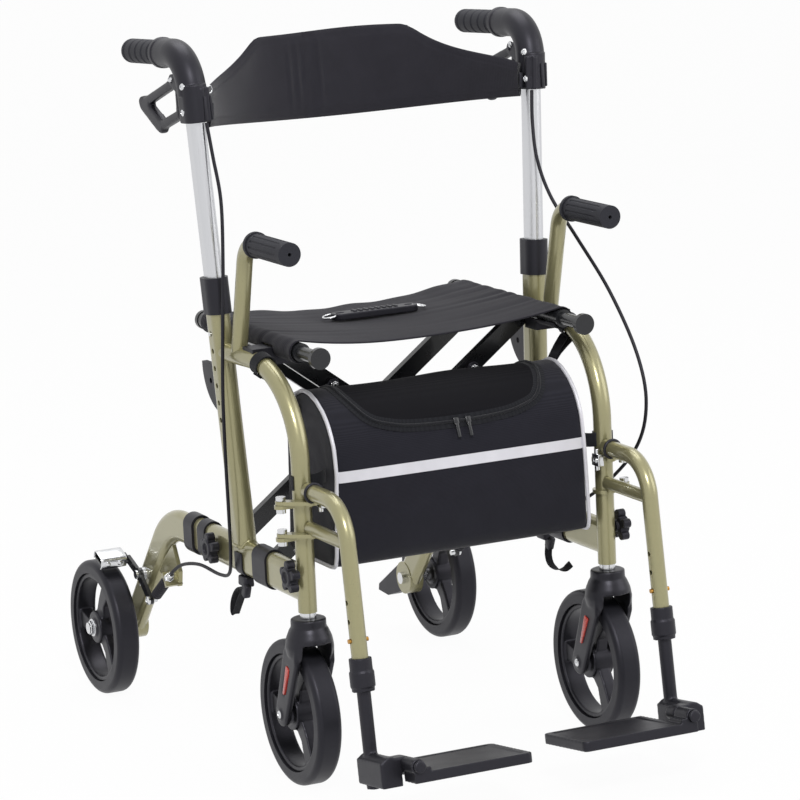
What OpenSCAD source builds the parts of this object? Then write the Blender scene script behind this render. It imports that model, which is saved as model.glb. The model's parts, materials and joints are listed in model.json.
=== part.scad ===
// Rollator transport chair: a folding walker with a seat, a backrest and swing-away footrests.
// Millimetres. The front faces -Y, +Z is up, and "left" is -X. Right-hand pieces mirror the left.

/* [Wheels] */
// Tyre diameter
wheel_d = 200; // [180:1:220]
// Tyre width
tyre_w = 35; // [30:1:40]
// Radial thickness of the tyre
tyre_wall = 19; // [14:1:24]
// Hub diameter
hub_d = 48; // [40:1:56]
// Axle bolt diameter
axle_d = 10; // [8:1:12]
// Half the spacing of the rear wheels
rear_x = 278; // [270:1:286]
// Rear axle, behind the middle of the chair
rear_y = 406; // [390:1:420]

/* [Frame] */
// Half the spacing of the side frames
frame_x = 228; // [218:1:236]
// Caster posts, in front of the middle
post_y = -230; // [-240:1:-220]
// Tube diameter of the caster posts and front bends
post_d = 25.4; // [22:0.2:28]
// Wall of the round tubes
tube_wall = 1.8; // [1.2:0.1:2.4]
// Height of the lower rail's centre
rail_z = 284; // [274:1:294]
// Lower rail section, height
rail_h = 50; // [44:1:56]
// Lower rail section, width
rail_w = 24; // [21:0.5:25]
// Wall of the oval tubes
rail_wall = 2; // [1.5:0.1:3]
// Rear end of the lower rail
rail_rear = 152; // [140:1:165]
// Where the rear leg turns down
leg_corner = 242; // [230:1:255]
// Bend radius of the rear leg
leg_bend = 120; // [100:1:140]
// Upright foot, along the rail
upright_y = -31; // [-40:1:-20]
// Upright section, front to back
upright_h = 40; // [38:0.5:46]
// Upright section, across
upright_w = 28; // [27:0.5:32]
// Length of the upright along its axis
upright_l = 355; // [340:1:370]
// Outward splay of the upright, degrees
splay = 2.7; // [1.5:0.1:3.5]
// Rearward lean of the upright, degrees
lean = 2.6; // [1.5:0.1:3.5]
// Height of the front tube's level run
front_z = 572; // [564:1:580]
// Bend radius of the front tube
front_bend = 122; // [100:1:130]
// Arm tube diameter
arm_d = 22.2; // [20:0.2:24]
// Arm tube's foot on the front tube
arm_foot = -68; // [-76:1:-60]
// Arm tube's bend, front to back
arm_corner = -112; // [-120:1:-104]
// Arm tube's level height
arm_z = 732; // [720:1:745]
// Front end of the arm grip
arm_front = -254; // [-265:1:-245]
// Arm grip diameter
arm_grip_d = 32; // [28:1:36]
// Arm grip length
arm_grip_l = 112; // [95:1:120]

/* [Handles] */
// Handle tube section, front to back
handle_h = 34; // [31:0.5:35]
// Handle tube section, across
handle_w = 22; // [19:0.5:23]
// Lower end of the handle tube along the upright
handle_low = 190; // [175:1:200]
// Underside of the handle housing along the upright
housing_low = 603; // [590:1:615]
// Height of the hand grip along the upright
grip_s = 695; // [685:1:705]
// Where the hand grip starts
grip_start = 92; // [86:1:100]
// Hand grip length
grip_l = 116; // [105:1:130]
// Hand grip diameter
grip_d = 34; // [30:1:38]
// Height holes, spacing
hole_pitch = 24; // [20:1:26]
// Height holes, count
hole_count = 6; // [4:1:7]
// Height holes, diameter
hole_d = 7.4; // [6:0.2:9]
// Top height hole, below the upright's top
hole_drop = 41; // [36:1:46]
// Brake lever thickness
lever_t = 13; // [10:0.5:15]
// Brake lever pivot pin
lever_pin = 6; // [5:0.5:7]

/* [Fold and seat] */
// Half the spacing of the lower brace pins
pin_x = 204; // [202:0.5:206]
// Brace pin diameter
pin_d = 10; // [8:0.5:12]
// Half the spacing of the seat rails
seat_x = 198; // [194:0.5:200]
// Height of the seat rails
seat_z = 588; // [584:0.5:592]
// Seat rail diameter
seat_d = 25; // [22:0.5:27]
// Front end of the seat rails' full tube
seat_front = -186; // [-192:1:-180]
// Rear end of the seat rails
seat_rear = 140; // [130:1:150]
// Brace bar depth
bar_h = 25; // [20:1:28]
// Brace bar thickness
bar_t = 12; // [9:1:14]
// Sag of the seat cloth
seat_sag = 16; // [10:1:22]
// Seat cloth thickness
seat_t = 4; // [3:0.5:6]

/* [Footrests] */
// Half the spacing of the hangers
hang_x = 225; // [221:1:229]
// Hanger tube diameter
hang_d = 22.2; // [21:0.2:24]
// Height of the hanger's level run
hang_z = 414; // [408:1:420]
// Where the hanger turns down
hang_corner = -355; // [-365:1:-350]
// Lean of the lower leg, degrees
foot_lean = 8; // [5:0.5:10]
// Half the spacing of the hanger pivots
pivot_x = 259; // [257:0.5:263]
// Pivot bolt diameter
bolt_d = 8; // [7:0.5:9]
// Inner tube diameter
stem_d = 18.6; // [17:0.2:19]
// Footplate depth, front to back
plate_l = 120; // [105:1:124]
// Footplate reach from its hinge
plate_reach = 165; // [140:1:180]
// Footplate thickness
plate_t = 14; // [10:1:18]
// Footrest holes, spacing
foot_pitch = 25; // [22:1:28]

/* [Cloth] */
// Half width of the bag
bag_x = 190; // [175:1:191]
// Front of the bag
bag_front = -252; // [-256:1:-246]
// Back of the bag
bag_back = -94; // [-100:1:-92]
// Underside of the bag
bag_low = 302; // [300:1:320]
// Top of the bag's round front, below the seat rails
bag_drop = 53; // [44:1:68]
// Rearward bow of the backrest
back_bow = 135; // [110:1:150]
// Backrest cloth thickness
back_t = 8; // [5:1:10]

/* [Clearances] */
// Radial room of a turning pin in its bore
run = 0.05; // [0.02:0.01:0.08]
// Room between sliding or passing pieces
gap = 0.5; // [0.4:0.1:0.8]

/* [Hidden] */
$fn = 48;
gold = "#a59f78";
silver = "#cfd0d2";
black = "#222326";
steel = "#d8d9da";
wheel_r = wheel_d / 2;
post_low = 247;
plug_h = 32;
stem_pin = 12;
trail = 42;
fork_t = 9;
fork_in = tyre_w / 2 + 3;
fork_top = post_low - 8;
hub_front = fork_in - gap;
hole_top = upright_l - hole_drop;
bag_top = seat_z - bag_drop;
hub_rear = tyre_w / 2 + 0.5;
leg_h = rail_h - 2 * rail_wall;
leg_w = rail_w - 2 * rail_wall;
leg_plug = 40;
theta = atan2(seat_z - rail_z, pin_x + seat_x);
brace_l = norm([seat_z - rail_z, pin_x + seat_x]);
sleeve_d = 22;
sleeve_y = 83;
bar_step = bar_t + 2;
bar_front = -sleeve_y + bar_t / 2 + 1;
bar_back = sleeve_y - bar_t / 2 - 1 - bar_step;
housing_h = handle_h + 14;
housing_w = handle_w + 14;
housing_d = 40;
housing_bend = 50;
handle_top = 640;
lever_y = 41;
lever_s = 659;
cheek = 5;
lug_t = 5;
lug_up = 392;
lug_low = 348;
foot_low = -372;
plate_hinge_x = 203;
plate_hinge_s = -336;
hinge_pin = 12;
block_w = 30;
button_s = -176;
collar_s = -229;
brake_y = 324;
brake_z = 191;
brake_x = 247;
shoe_y = 368;
shoe_z = 206;
knob_z = rail_z + 14;
knob_y = 44;
stud_d = 8;
cable_d = 5;
saddle_y = -106;
seat_gap = 0.3;
knob_neck = 4;
// A strap loop on the front tube's bend: where it starts and how far it turns, in degrees
strap_angle = 99;
strap_span = 12;
strap_y = post_y + front_bend - 27;
strap_w = 18;
bend_in = 0.4;
bend_full = 1.003;
function ux(z) = frame_x + (z - rail_z) * tan(splay);
function uy(z) = upright_y + (z - rail_z) * tan(lean) / cos(splay);
toe = atan2(ux(front_z) - frame_x, uy(front_z) - post_y);
front_l = norm([ux(front_z) - frame_x, uy(front_z) - post_y]);
arm_x = frame_x + (arm_foot - post_y) * tan(toe);
saddle_x = frame_x + (saddle_y - post_y) * tan(toe);
handle_z = rail_z + 640 * cos(lean) * cos(splay);
back_half = ux(rail_z + housing_low) - housing_w / 2 - seat_gap;
back_y = uy(handle_z) - 4;
back_r = (back_half * back_half + back_bow * back_bow) / (2 * back_bow);
seat_r = (seat_x * seat_x + seat_sag * seat_sag) / (2 * seat_sag);

// Cable routes, chosen by hand along the photographed runs
left_route = [[-248, -22, 885.5], [-244, -28, 840], [-240, -38, 780], [-246, -48, 700], [-256, -58, 610],
    [-262, -60, 520], [-262, -57, 430], [-258, -48, 350], [-251, -30, 290], [-243, -2, 256],
    [-240, 40, 246], [-240, 110, 246], [-243, 165, 236], [-246, 198, 220], [-246, 219.6, 204.7]];
right_route = [[248, -22, 885.5], [243, -30, 840], [242, -42, 790], [252, -60, 738], [272, -92, 684],
    [294, -144, 610], [301, -203, 530], [301, -225, 462], [295, -202, 396], [274, -134, 330],
    [253, -50, 282], [243, 0, 256], [240, 40, 246], [240, 110, 246], [243, 165, 236], [246, 198, 220], [246, 219.6, 204.7]];

// Helpers

module oval(h, w) {
    square([h - w, w], center = true);
    translate([(h - w) / 2, 0]) circle(d = w);
    translate([-(h - w) / 2, 0]) circle(d = w);
}

module bar2(a, b, w) {
    translate(a) rotate(atan2(b[1] - a[1], b[0] - a[0])) translate([0, -w / 2]) square([norm(b - a), w]);
    translate(a) circle(d = w);
    translate(b) circle(d = w);
}

module taper2(a, ra, b, rb) {
    n = [-(b[1] - a[1]), b[0] - a[0]] / norm(b - a);
    polygon([a + n * ra, b + n * rb, b - n * rb, a - n * ra]);
    translate(a) circle(r = ra);
    translate(b) circle(r = rb);
}

function turn_of(a, b, c) = atan2((b - a)[0] * (c - b)[1] - (b - a)[1] * (c - b)[0], (b - a) * (c - b));

function even(a) = round(a * 100) / 100;

// Sweeps a flat section along a bent line in the plane, with one bend radius
module bent(pts, r) {
    heading = even(atan2(pts[1][1] - pts[0][1], pts[1][0] - pts[0][0]));
    translate([pts[0][0], pts[0][1], 0]) rotate([0, 0, heading]) run_on(pts, 0, 0, r) children();
}

// One straight, then its bend, then the rest of the line. A bend is a hair fuller than the straights,
// which run a little way into it.
module run_on(pts, i, used, r) {
    last = i == len(pts) - 2;
    turn = last ? 0 : even(turn_of(pts[i], pts[i + 1], pts[i + 2]));
    s = sign(turn);
    cut = r * tan(abs(turn) / 2);
    l = norm(pts[i + 1] - pts[i]) - used - cut;
    first_in = i == 0 ? 0 : bend_in;
    last_in = last ? 0 : bend_in;
    translate([-first_in, 0, 0]) rotate([90, 0, 90]) linear_extrude(height = l + first_in + last_in) children();
    if (!last) translate([l, s * r, 0]) {
        rotate([0, 0, s > 0 ? -90 : 90 + turn]) rotate_extrude(angle = abs(turn)) translate([r, 0])
            scale([bend_full, bend_full]) children();
        rotate([0, 0, turn]) translate([0, -s * r, 0]) run_on(pts, i + 1, cut, r) children();
    }
}

// Lays a plane of (front-to-back, height) upright at one sideways place
module side(x) {
    translate([x, 0, 0]) rotate([90, 0, 90]) children();
}

module side_plate(x0, x1) {
    side(x0) linear_extrude(height = x1 - x0) children();
}

module pin_x_axis(x0, x1, y, z, d) {
    translate([x0, y, z]) rotate([0, 90, 0]) cylinder(d = d, h = x1 - x0);
}

module pin_y_axis(x, y0, y1, z, d) {
    translate([x, y0, z]) rotate([-90, 0, 0]) cylinder(d = d, h = y1 - y0);
}

module right_hand() {
    mirror([1, 0, 0]) children();
}

// Side frame

module post_core(d) {
    translate([-frame_x, post_y, post_low]) cylinder(d = d, h = rail_z + rail_h - post_low);
}

module rail_bar(h, w, y0, y1) {
    side(-frame_x) bent([[y0, rail_z], [y1, rail_z]], 1) oval(h, w);
}

module left_rail() {
    color(gold) difference() {
        rail_bar(rail_h, rail_w, post_y, rail_rear);
        rail_bar(leg_h, leg_w, post_y - 1, rail_rear + 1);
        post_core(post_d);
        pin_x_axis(-frame_x - rail_w, -frame_x, knob_y, rail_z, stud_d + 2 * run);
    }
}

module on_upright() {
    translate([-frame_x, upright_y, rail_z]) rotate([-lean, -splay, 0]) children();
}

module upright_bar(h, w, s0, s1) {
    on_upright() translate([0, 0, s0]) linear_extrude(height = s1 - s0) rotate(90) oval(h, w);
}

module left_upright() {
    color(gold) difference() {
        upright_bar(upright_h, upright_w, 0, upright_l);
        upright_bar(upright_h - 2 * rail_wall, upright_w - 2 * rail_wall, -1, upright_l + 1);
        rail_bar(rail_h, rail_w, upright_y - upright_h, upright_y + upright_h);
        translate([-frame_x - upright_w, upright_y - upright_h, rail_z - upright_h])
            cube([2 * upright_w, 2 * upright_h, upright_h + (rail_h - rail_w) / 2]);
        for (i = [0 : hole_count - 1]) on_upright() translate([-upright_w / 2 - 1, 0, hole_top - i * hole_pitch])
            rotate([0, 90, 0]) cylinder(d = hole_d, h = rail_wall + 2);
    }
}

module at_post() {
    translate([-frame_x, post_y, 0]) rotate([0, 0, toe]) children();
}

front_pts = [[0, post_low], [0, front_z], [front_l, front_z]];
arm_pts = [[arm_foot, front_z], [arm_corner, arm_z], [arm_front + 6, arm_z]];
arm_weld = (arm_foot - post_y) / cos(toe);
arm_up = (arm_pts[1] - arm_pts[0]) / norm(arm_pts[1] - arm_pts[0]);

module front_core(d) {
    at_post() side(0) bent(front_pts, front_bend) circle(d = d);
}

module lug_plate(z, reach_pt, w) {
    translate([0, 0, z]) linear_extrude(height = lug_t) bar2([-pivot_x, post_y], reach_pt, w);
}

module left_front_tube() {
    color(gold) difference() {
        union() {
            front_core(post_d);
            side(-arm_x) bent(arm_pts, 38) circle(d = arm_d);
            for (z = [lug_up, lug_low]) {
                lug_plate(z, [-frame_x, post_y], 18);
                translate([-frame_x, post_y, z]) cylinder(d = post_d + 8, h = lug_t);
            }
        }
        // The bore is left solid for a short way under the arm tube's weld
        at_post() side(0) {
            bent([[0, post_low + plug_h], front_pts[1], [arm_weld - post_d, front_z]], front_bend)
                circle(d = post_d - 2 * tube_wall);
            bent([[arm_weld + post_d, front_z], [front_l + 2, front_z]], 1) circle(d = post_d - 2 * tube_wall);
        }
        side(-arm_x) bent([arm_pts[0] + arm_up * post_d, arm_pts[1], arm_pts[2] + [-1, 0]], 38)
            circle(d = arm_d - 2 * tube_wall);
        upright_bar(upright_h, upright_w, 0, upright_l);
        translate([-frame_x, post_y, post_low - 1]) cylinder(d = stem_pin + 2 * run, h = plug_h + 2);
        translate([-pivot_x, post_y, lug_low - 1]) cylinder(d = bolt_d, h = lug_up - lug_low + lug_t + 2);
        pin_x_axis(-frame_x - post_d, -frame_x, post_y, knob_z, stud_d + 2 * run);
    }
}

leg_pts = [[rail_rear - leg_plug, rail_z], [leg_corner, rail_z], [rear_y, wheel_r]];
leg_down = (leg_pts[2] - leg_pts[1]) / norm(leg_pts[2] - leg_pts[1]);
barrel = [222, 203];
arm_end = [284, 160];

module left_rear_leg() {
    color(gold) difference() {
        union() {
            side(-frame_x) bent(leg_pts, leg_bend) oval(leg_h, leg_w);
            pin_x_axis(-frame_x - leg_w / 2 - 1, -frame_x + leg_w / 2 + 1, rear_y, wheel_r, leg_h + 4);
            side_plate(-frame_x - 4, -frame_x + 2)
                polygon([[232, 250], [292, 204], [262, 186], [216, 192], [212, 214]]);
            side_plate(-frame_x - leg_w / 2 - 14, -frame_x + 2) translate(barrel)
                rotate(atan2(arm_end[1] - barrel[1], arm_end[0] - barrel[0])) square([5, 22], center = true);
        }
        side(-frame_x) bent([leg_pts[0] + [-1, 0], leg_pts[1], leg_pts[2] - leg_down * leg_h * 0.8], leg_bend)
            oval(leg_h - 2 * rail_wall, leg_w - 2 * rail_wall);
        pin_x_axis(-frame_x - rail_w, -frame_x + rail_w, rear_y, wheel_r, axle_d);
        pin_x_axis(-frame_x - rail_w, -frame_x, brake_y, brake_z, bolt_d);
    }
}

module left_arm_grip() {
    y1 = arm_front + arm_grip_l;
    color(black) difference() {
        union() {
            pin_y_axis(-arm_x, arm_front, y1, arm_z, arm_grip_d);
            pin_y_axis(-arm_x, y1 - 6, y1, arm_z, arm_grip_d + 4);
        }
        pin_y_axis(-arm_x, arm_front + 6, y1 + 1, arm_z, arm_d);
        pin_y_axis(-arm_x, arm_front - 1, arm_front + 7, arm_z, 5);
        for (a = [0 : 30 : 330]) translate([-arm_x, 0, arm_z]) rotate([0, a, 0])
            pin_y_axis(arm_grip_d / 2 + 0.6, arm_front + 14, y1 - 14, 0, 3.4);
    }
}

module brace_band(y0, y1) {
    difference() {
        union() {
            rail_bar(rail_h + 6, rail_w + 6, y0, y1);
            side_lug = sleeve_d / 2;
            pin_y_axis(-pin_x, y0, y1, rail_z, sleeve_d);
            translate([-frame_x, y0, rail_z - side_lug]) cube([frame_x - pin_x, y1 - y0, sleeve_d]);
        }
        rail_bar(rail_h, rail_w, y0 - 1, y1 + 1);
    }
}

module left_fittings() {
    color(black) {
        // Bushing collar where the handle tube leaves the upright
        difference() {
            upright_bar(upright_h + 6, upright_w + 6, upright_l - 14, upright_l + 36);
            upright_bar(upright_h, upright_w, upright_l - 15, upright_l);
            upright_bar(handle_h + 2 * gap, handle_w + 2 * gap, upright_l - 1, upright_l + 37);
        }
        // Collar over the rear end of the rail
        difference() {
            rail_bar(rail_h + 8, rail_w + 8, rail_rear - 26, rail_rear + 4);
            rail_bar(rail_h, rail_w, rail_rear - 27, rail_rear);
            rail_bar(leg_h, leg_w, rail_rear - 1, rail_rear + 5);
        }
        // Brace pivot bands and their pin
        brace_band(-sleeve_y - 44, -sleeve_y - gap);
        brace_band(sleeve_y + gap, sleeve_y + 25);
        pin_y_axis(-pin_x, -sleeve_y - 10, sleeve_y + 10, rail_z, pin_d);
        // Saddle that the seat rail rests in
        difference() {
            translate([-saddle_x - 6, saddle_y - 17, front_z - 8])
                cube([saddle_x - seat_x + 6 + seat_d * 0.4, 34, seat_z - front_z + 8]);
            front_core(post_d);
            pin_y_axis(-seat_x, saddle_y - 20, saddle_y + 20, seat_z, seat_d + 2 * gap);
        }
        // Hook plate behind the upright
        difference() {
            side_plate(-ux(516) - 4, -ux(516) + 4) difference() {
                intersection() {
                    translate([uy(516), 484]) square([upright_h / 2 + 58, 64]);
                    translate([uy(516) + 8, 548]) circle(r = 66);
                }
                translate([uy(516) + 46, 524]) circle(d = 8);
            }
            upright_bar(upright_h, upright_w, 0, upright_l);
        }
        // Tipping pedal on the rear leg
        difference() {
            side_plate(-frame_x - leg_w / 2, -frame_x + leg_w / 2)
                polygon([[rear_y + 8, 124], [rear_y + 34, 108], [rear_y + 92, 72], [rear_y + 94, 62],
                    [rear_y + 60, 60], [rear_y + 12, 76]]);
            pin_x_axis(-frame_x - leg_w, -frame_x + leg_w, rear_y, wheel_r, leg_h + 4);
            side(-frame_x) bent(leg_pts, leg_bend) oval(leg_h, leg_w + 1);
        }
    }
}

module left_hardware() {
    face = frame_x + leg_w / 2;
    hub = rear_x - hub_rear;
    color(steel) {
        // Rear axle bolt, spacer and nut
        pin_x_axis(-rear_x - hub_rear - 8, -frame_x + leg_w / 2 + 7, rear_y, wheel_r, axle_d);
        pin_x_axis(-frame_x + leg_w / 2 + 1, -frame_x + leg_w / 2 + 7, rear_y, wheel_r, 18);
        pin_x_axis(-hub + seat_gap, -face - 1, rear_y, wheel_r, 18);
        pin_x_axis(-rear_x - hub_rear - 8, -rear_x - hub_rear - seat_gap, rear_y, wheel_r, 17);
        // Brake arm pin
        pin_x_axis(-brake_x - 5 - gap, -face + 4, brake_y, brake_z, bolt_d);
        pin_x_axis(-brake_x + gap, -face, brake_y, brake_z, 15);
        pin_x_axis(-brake_x - 9, -brake_x - 5 - gap, brake_y, brake_z, 13);
        // Caster nut
        difference() {
            translate([-frame_x, post_y, fork_top + gap]) cylinder(d = 22, h = post_low - fork_top - gap);
            translate([-frame_x, post_y, fork_top]) cylinder(d = stem_pin + 2 * gap, h = 20);
        }
        // Hanger pivot bolts
        for (z = [lug_up, lug_low]) translate([-pivot_x, post_y, z]) {
            cylinder(d = bolt_d, h = 2 * lug_t + 3 * gap);
            translate([0, 0, -6]) cylinder(d = 13, h = 6);
            translate([0, 0, 2 * lug_t + 2 * gap]) cylinder(d = 13, h = 5);
        }
    }
}

// Cable

function mix(p, q, t) = p * (1 - t) + q * t;
function curve(r, i, t) = let(a = r[max(i - 1, 0)], b = r[i], c = r[i + 1], d = r[min(i + 2, len(r) - 1)])
    0.5 * (2 * b + (c - a) * t + (2 * a - 5 * b + 4 * c - d) * t * t + (3 * b - a - 3 * c + d) * t * t * t);
function smooth(r, k) = concat([for (i = [0 : len(r) - 2], j = [0 : k - 1]) curve(r, i, j / k)], [r[len(r) - 1]]);
function unit(v) = v / norm(v);
function ring(r, i, n, d) = let(t = unit(r[min(i + 1, len(r) - 1)] - r[max(i - 1, 0)]),
    a = unit(cross(t, [1, 0, 0])), b = cross(t, a))
    [for (k = [0 : n - 1]) r[i] + d / 2 * (cos(360 * k / n) * a + sin(360 * k / n) * b)];

module cord(route, d, n, k) {
    r = smooth(route, k);
    m = len(r);
    pts = [for (i = [0 : m - 1]) each ring(r, i, n, d)];
    sides = [for (i = [0 : m - 2], j = [0 : n - 1], h = [0, 1]) let(p = i * n + j, q = i * n + (j + 1) % n)
        h == 0 ? [p, q + n, q] : [p, p + n, q + n]];
    ends = concat([for (j = [1 : n - 2]) [0, j, j + 1]],
        [for (j = [1 : n - 2]) [(m - 1) * n, (m - 1) * n + j + 1, (m - 1) * n + j]]);
    polyhedron(points = pts, faces = concat(sides, ends));
}

// Ribbed boot over the cable's end, from the gusset tab to the brake arm
module boot() {
    d = [arm_end[0] - barrel[0], arm_end[1] - barrel[1]];
    l = norm(d) - 3 - 9;
    translate([-brake_x + 1, barrel[0], barrel[1]]) rotate([90 + atan2(d[1], d[0]), 0, 0]) rotate([180, 0, 0])
        translate([0, 0, 3]) {
            cylinder(d = 10, h = l);
            for (i = [0 : 8]) translate([0, 0, 2 + i * (l - 6) / 8]) cylinder(d = 14, h = 3);
        }
}

module left_cable() {
    color(black) {
        cord(left_route, cable_d, 8, 4);
        boot();
    }
}

module right_cable() {
    color(black) {
        cord(right_route, cable_d, 8, 4);
        right_hand() boot();
    }
}

// Star knobs

module star_knob() {
    difference() {
        union() {
            cylinder(d = 26, h = 14);
            for (a = [0 : 72 : 288]) rotate(a) translate([16, 0, 0]) cylinder(d = 13, h = 12);
            translate([0, 0, -knob_neck]) cylinder(d = 16, h = knob_neck);
            translate([0, 0, -12]) cylinder(d = stud_d, h = 12);
        }
        translate([0, 0, 11]) cylinder(d = 16, h = 4);
    }
}

module left_front_knob() {
    color(black) translate([-frame_x - post_d / 2 - knob_neck - seat_gap, post_y, knob_z]) rotate([0, -90, 0]) star_knob();
}

module left_rear_knob() {
    color(black) translate([-frame_x - rail_w / 2 - knob_neck - seat_gap, knob_y, rail_z]) rotate([0, -90, 0]) star_knob();
}

// Wheels

module tyre() {
    rotate([0, 90, 0]) rotate_extrude() difference() {
        union() {
            translate([wheel_r - tyre_wall, -tyre_w / 2]) square([tyre_wall - 8, tyre_w]);
            translate([wheel_r - 10, -tyre_w / 2 + 8]) square([10, tyre_w - 16]);
            for (s = [-1, 1]) translate([wheel_r - 8, s * (tyre_w / 2 - 8)]) circle(r = 8);
        }
    }
}

module core(hub_half) {
    rim_in = wheel_r - tyre_wall - 7;
    rotate([0, 90, 0]) difference() {
        union() {
            difference() {
                cylinder(r = wheel_r - tyre_wall, h = tyre_w - 6, center = true);
                cylinder(r = rim_in, h = tyre_w, center = true);
            }
            cylinder(d = hub_d, h = tyre_w - 4, center = true);
            cylinder(d = hub_d * 0.56, h = 2 * hub_half, center = true);
            // Three swept spokes
            for (a = [0 : 120 : 240]) rotate(a) linear_extrude(height = tyre_w - 17, center = true)
                polygon([[-13, 0], [-3, rim_in * 0.55], [-12, rim_in + 3], [15, rim_in + 3],
                    [17, rim_in * 0.55], [15, 0]]);
        }
        cylinder(d = axle_d + 2 * run, h = 3 * tyre_w, center = true);
    }
}

module at_rear_wheel() {
    translate([-rear_x, rear_y, wheel_r]) children();
}

module at_front_wheel() {
    translate([-frame_x, post_y + trail, wheel_r]) children();
}

module left_rear_tyre() {
    color(black) at_rear_wheel() tyre();
}

module left_rear_core() {
    color("#303236") at_rear_wheel() core(hub_rear);
}

module left_front_tyre() {
    color(black) at_front_wheel() tyre();
}

module left_front_core() {
    color("#303236") at_front_wheel() core(hub_front);
}

// A point of the fork leg's own frame, u along it from the axle and v across it
function leg_point(u, v) =
    let (way = [2 - trail, wheel_r - 10] / norm([2 - trail, wheel_r - 10]))
    [trail + u * way[0] + v * way[1], wheel_r + u * way[1] - v * way[0]];

module leg_shape(points) {
    polygon([for (p = points) leg_point(p[0], p[1])]);
}

module left_caster_fork() {
    out = fork_in + fork_t;
    crown = wheel_d + 6;
    color(black) translate([-frame_x, post_y, 0]) {
        translate([0, 0, fork_top - 14]) cylinder(d = 48, h = 14);
        difference() {
            union() {
                // Bell-shaped crown
                translate([0, 0, fork_top - 60]) rotate_extrude()
                    polygon([[0, 0], [25, 0], [31, 11], [33, 22], [31, 34], [26, 46], [24.6, 47], [0, 47]]);
                // Legs that trail back to the axle
                for (s = [-1, 1]) side_plate(min(s * out, s * (fork_in + gap)), max(s * out, s * (fork_in + gap)))
                    union() {
                        translate([trail, wheel_r]) circle(d = 34);
                        leg_shape([[0, 16.6], [94, 21], [116, 12], [116, -12], [94, -21], [0, -16.6]]);
                    }
            }
            translate([-fork_in, -wheel_d, 0]) cube([2 * fork_in, 2 * wheel_d, crown]);
            // Reflector recess in the outer leg
            side_plate(-out - 1, -out + 3) leg_shape([[34, 2.5], [36.5, 5], [76.5, 5], [79, 2.5],
                [79, -2.5], [76.5, -5], [36.5, -5], [34, -2.5]]);
        }
        pin_x_axis(-out - 1, out + 1, trail, wheel_r, axle_d);
        for (s = [-1, 1]) translate([s * (out + 1), trail, wheel_r]) rotate([0, 90, 0])
            cylinder(d = 15, h = 2, center = true);
        translate([0, 0, fork_top - 1]) cylinder(d = stem_pin, h = post_low - fork_top + plug_h - 3);
    }
}

// Rear brake

module left_brake_arm() {
    a = atan2(wheel_r - shoe_z, rear_y - shoe_y) + 90;
    color("#3a3c40") difference() {
        union() {
            side_plate(-brake_x - 5, -brake_x) {
                bar2([brake_y, brake_z], arm_end, 13);
                bar2([brake_y, brake_z], [shoe_y - 4, shoe_z], 12);
                translate([brake_y, brake_z]) circle(d = 19);
            }
            translate([-rear_x - tyre_w / 2, shoe_y, shoe_z]) rotate([a, 0, 0]) {
                translate([0, -13, 0]) cube([rear_x + tyre_w / 2 - brake_x - 1, 26, 3]);
                for (y = [-8, 0, 8]) translate([1, y, 0.6]) rotate([0, 90, 0])
                    cylinder(d = 4, h = tyre_w - 2);
            }
        }
        pin_x_axis(-brake_x - 20, -brake_x + 20, brake_y, brake_z, bolt_d + 2 * run);
    }
}

// Handles

module left_handle_tube() {
    color(silver) difference() {
        upright_bar(handle_h, handle_w, handle_low, handle_top);
        upright_bar(handle_h - 2 * tube_wall, handle_w - 2 * tube_wall, handle_low - 1, handle_top - 6);
        on_upright() translate([-handle_w / 2 - 1, 0, hole_top]) rotate([0, 90, 0])
            cylinder(d = hole_d - 0.8, h = tube_wall + 2);
    }
}

module left_height_button() {
    color(steel) on_upright() translate([0, 0, hole_top]) rotate([0, -90, 0]) {
        translate([0, 0, handle_w / 2 - tube_wall - 3]) cylinder(d = 9, h = 3);
        translate([0, 0, handle_w / 2 - tube_wall]) cylinder(d = hole_d - 1.6, h = upright_w / 2 - handle_w / 2 + 4);
    }
}

module left_handle_housing() {
    color(black) on_upright() difference() {
        union() {
            translate([0, 0, housing_low]) linear_extrude(height = handle_top - housing_low + 14)
                rotate(90) oval(housing_h, housing_w);
            side(0) bent([[0, handle_top], [0, grip_s], [grip_start, grip_s]], housing_bend) circle(d = housing_d);
            pin_y_axis(0, grip_start - 9, grip_start, grip_s, housing_d + 3);
            pin_y_axis(0, grip_start - 1, grip_start + grip_l - 12, grip_s, grip_d - 12);
            // Cheeks that carry the lever
            for (s = [-1, 1]) side_plate(s * (lever_t / 2 + gap + cheek / 2) - cheek / 2,
                s * (lever_t / 2 + gap + cheek / 2) + cheek / 2)
                taper2([lever_y, lever_s], 9, [8, lever_s - 8], 16);
            side_plate(-lever_t, lever_t) translate([-10, lever_s - 40]) square([housing_h / 2 + 6, 20]);
            pin_x_axis(-lever_t / 2 - gap - cheek - 2, lever_t / 2 + gap + cheek + 2, lever_y, lever_s, lever_pin);
            // Flutes that take the backrest bracket
            for (p = [[5, -housing_h / 2 + 3], [13, -housing_h / 2 + 7]])
                translate([p[0], p[1], housing_low]) cylinder(d = 9, h = 46);
        }
        translate([0, 0, housing_low - 1]) linear_extrude(height = handle_top - housing_low + 1)
            rotate(90) oval(handle_h, handle_w);
    }
}

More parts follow.
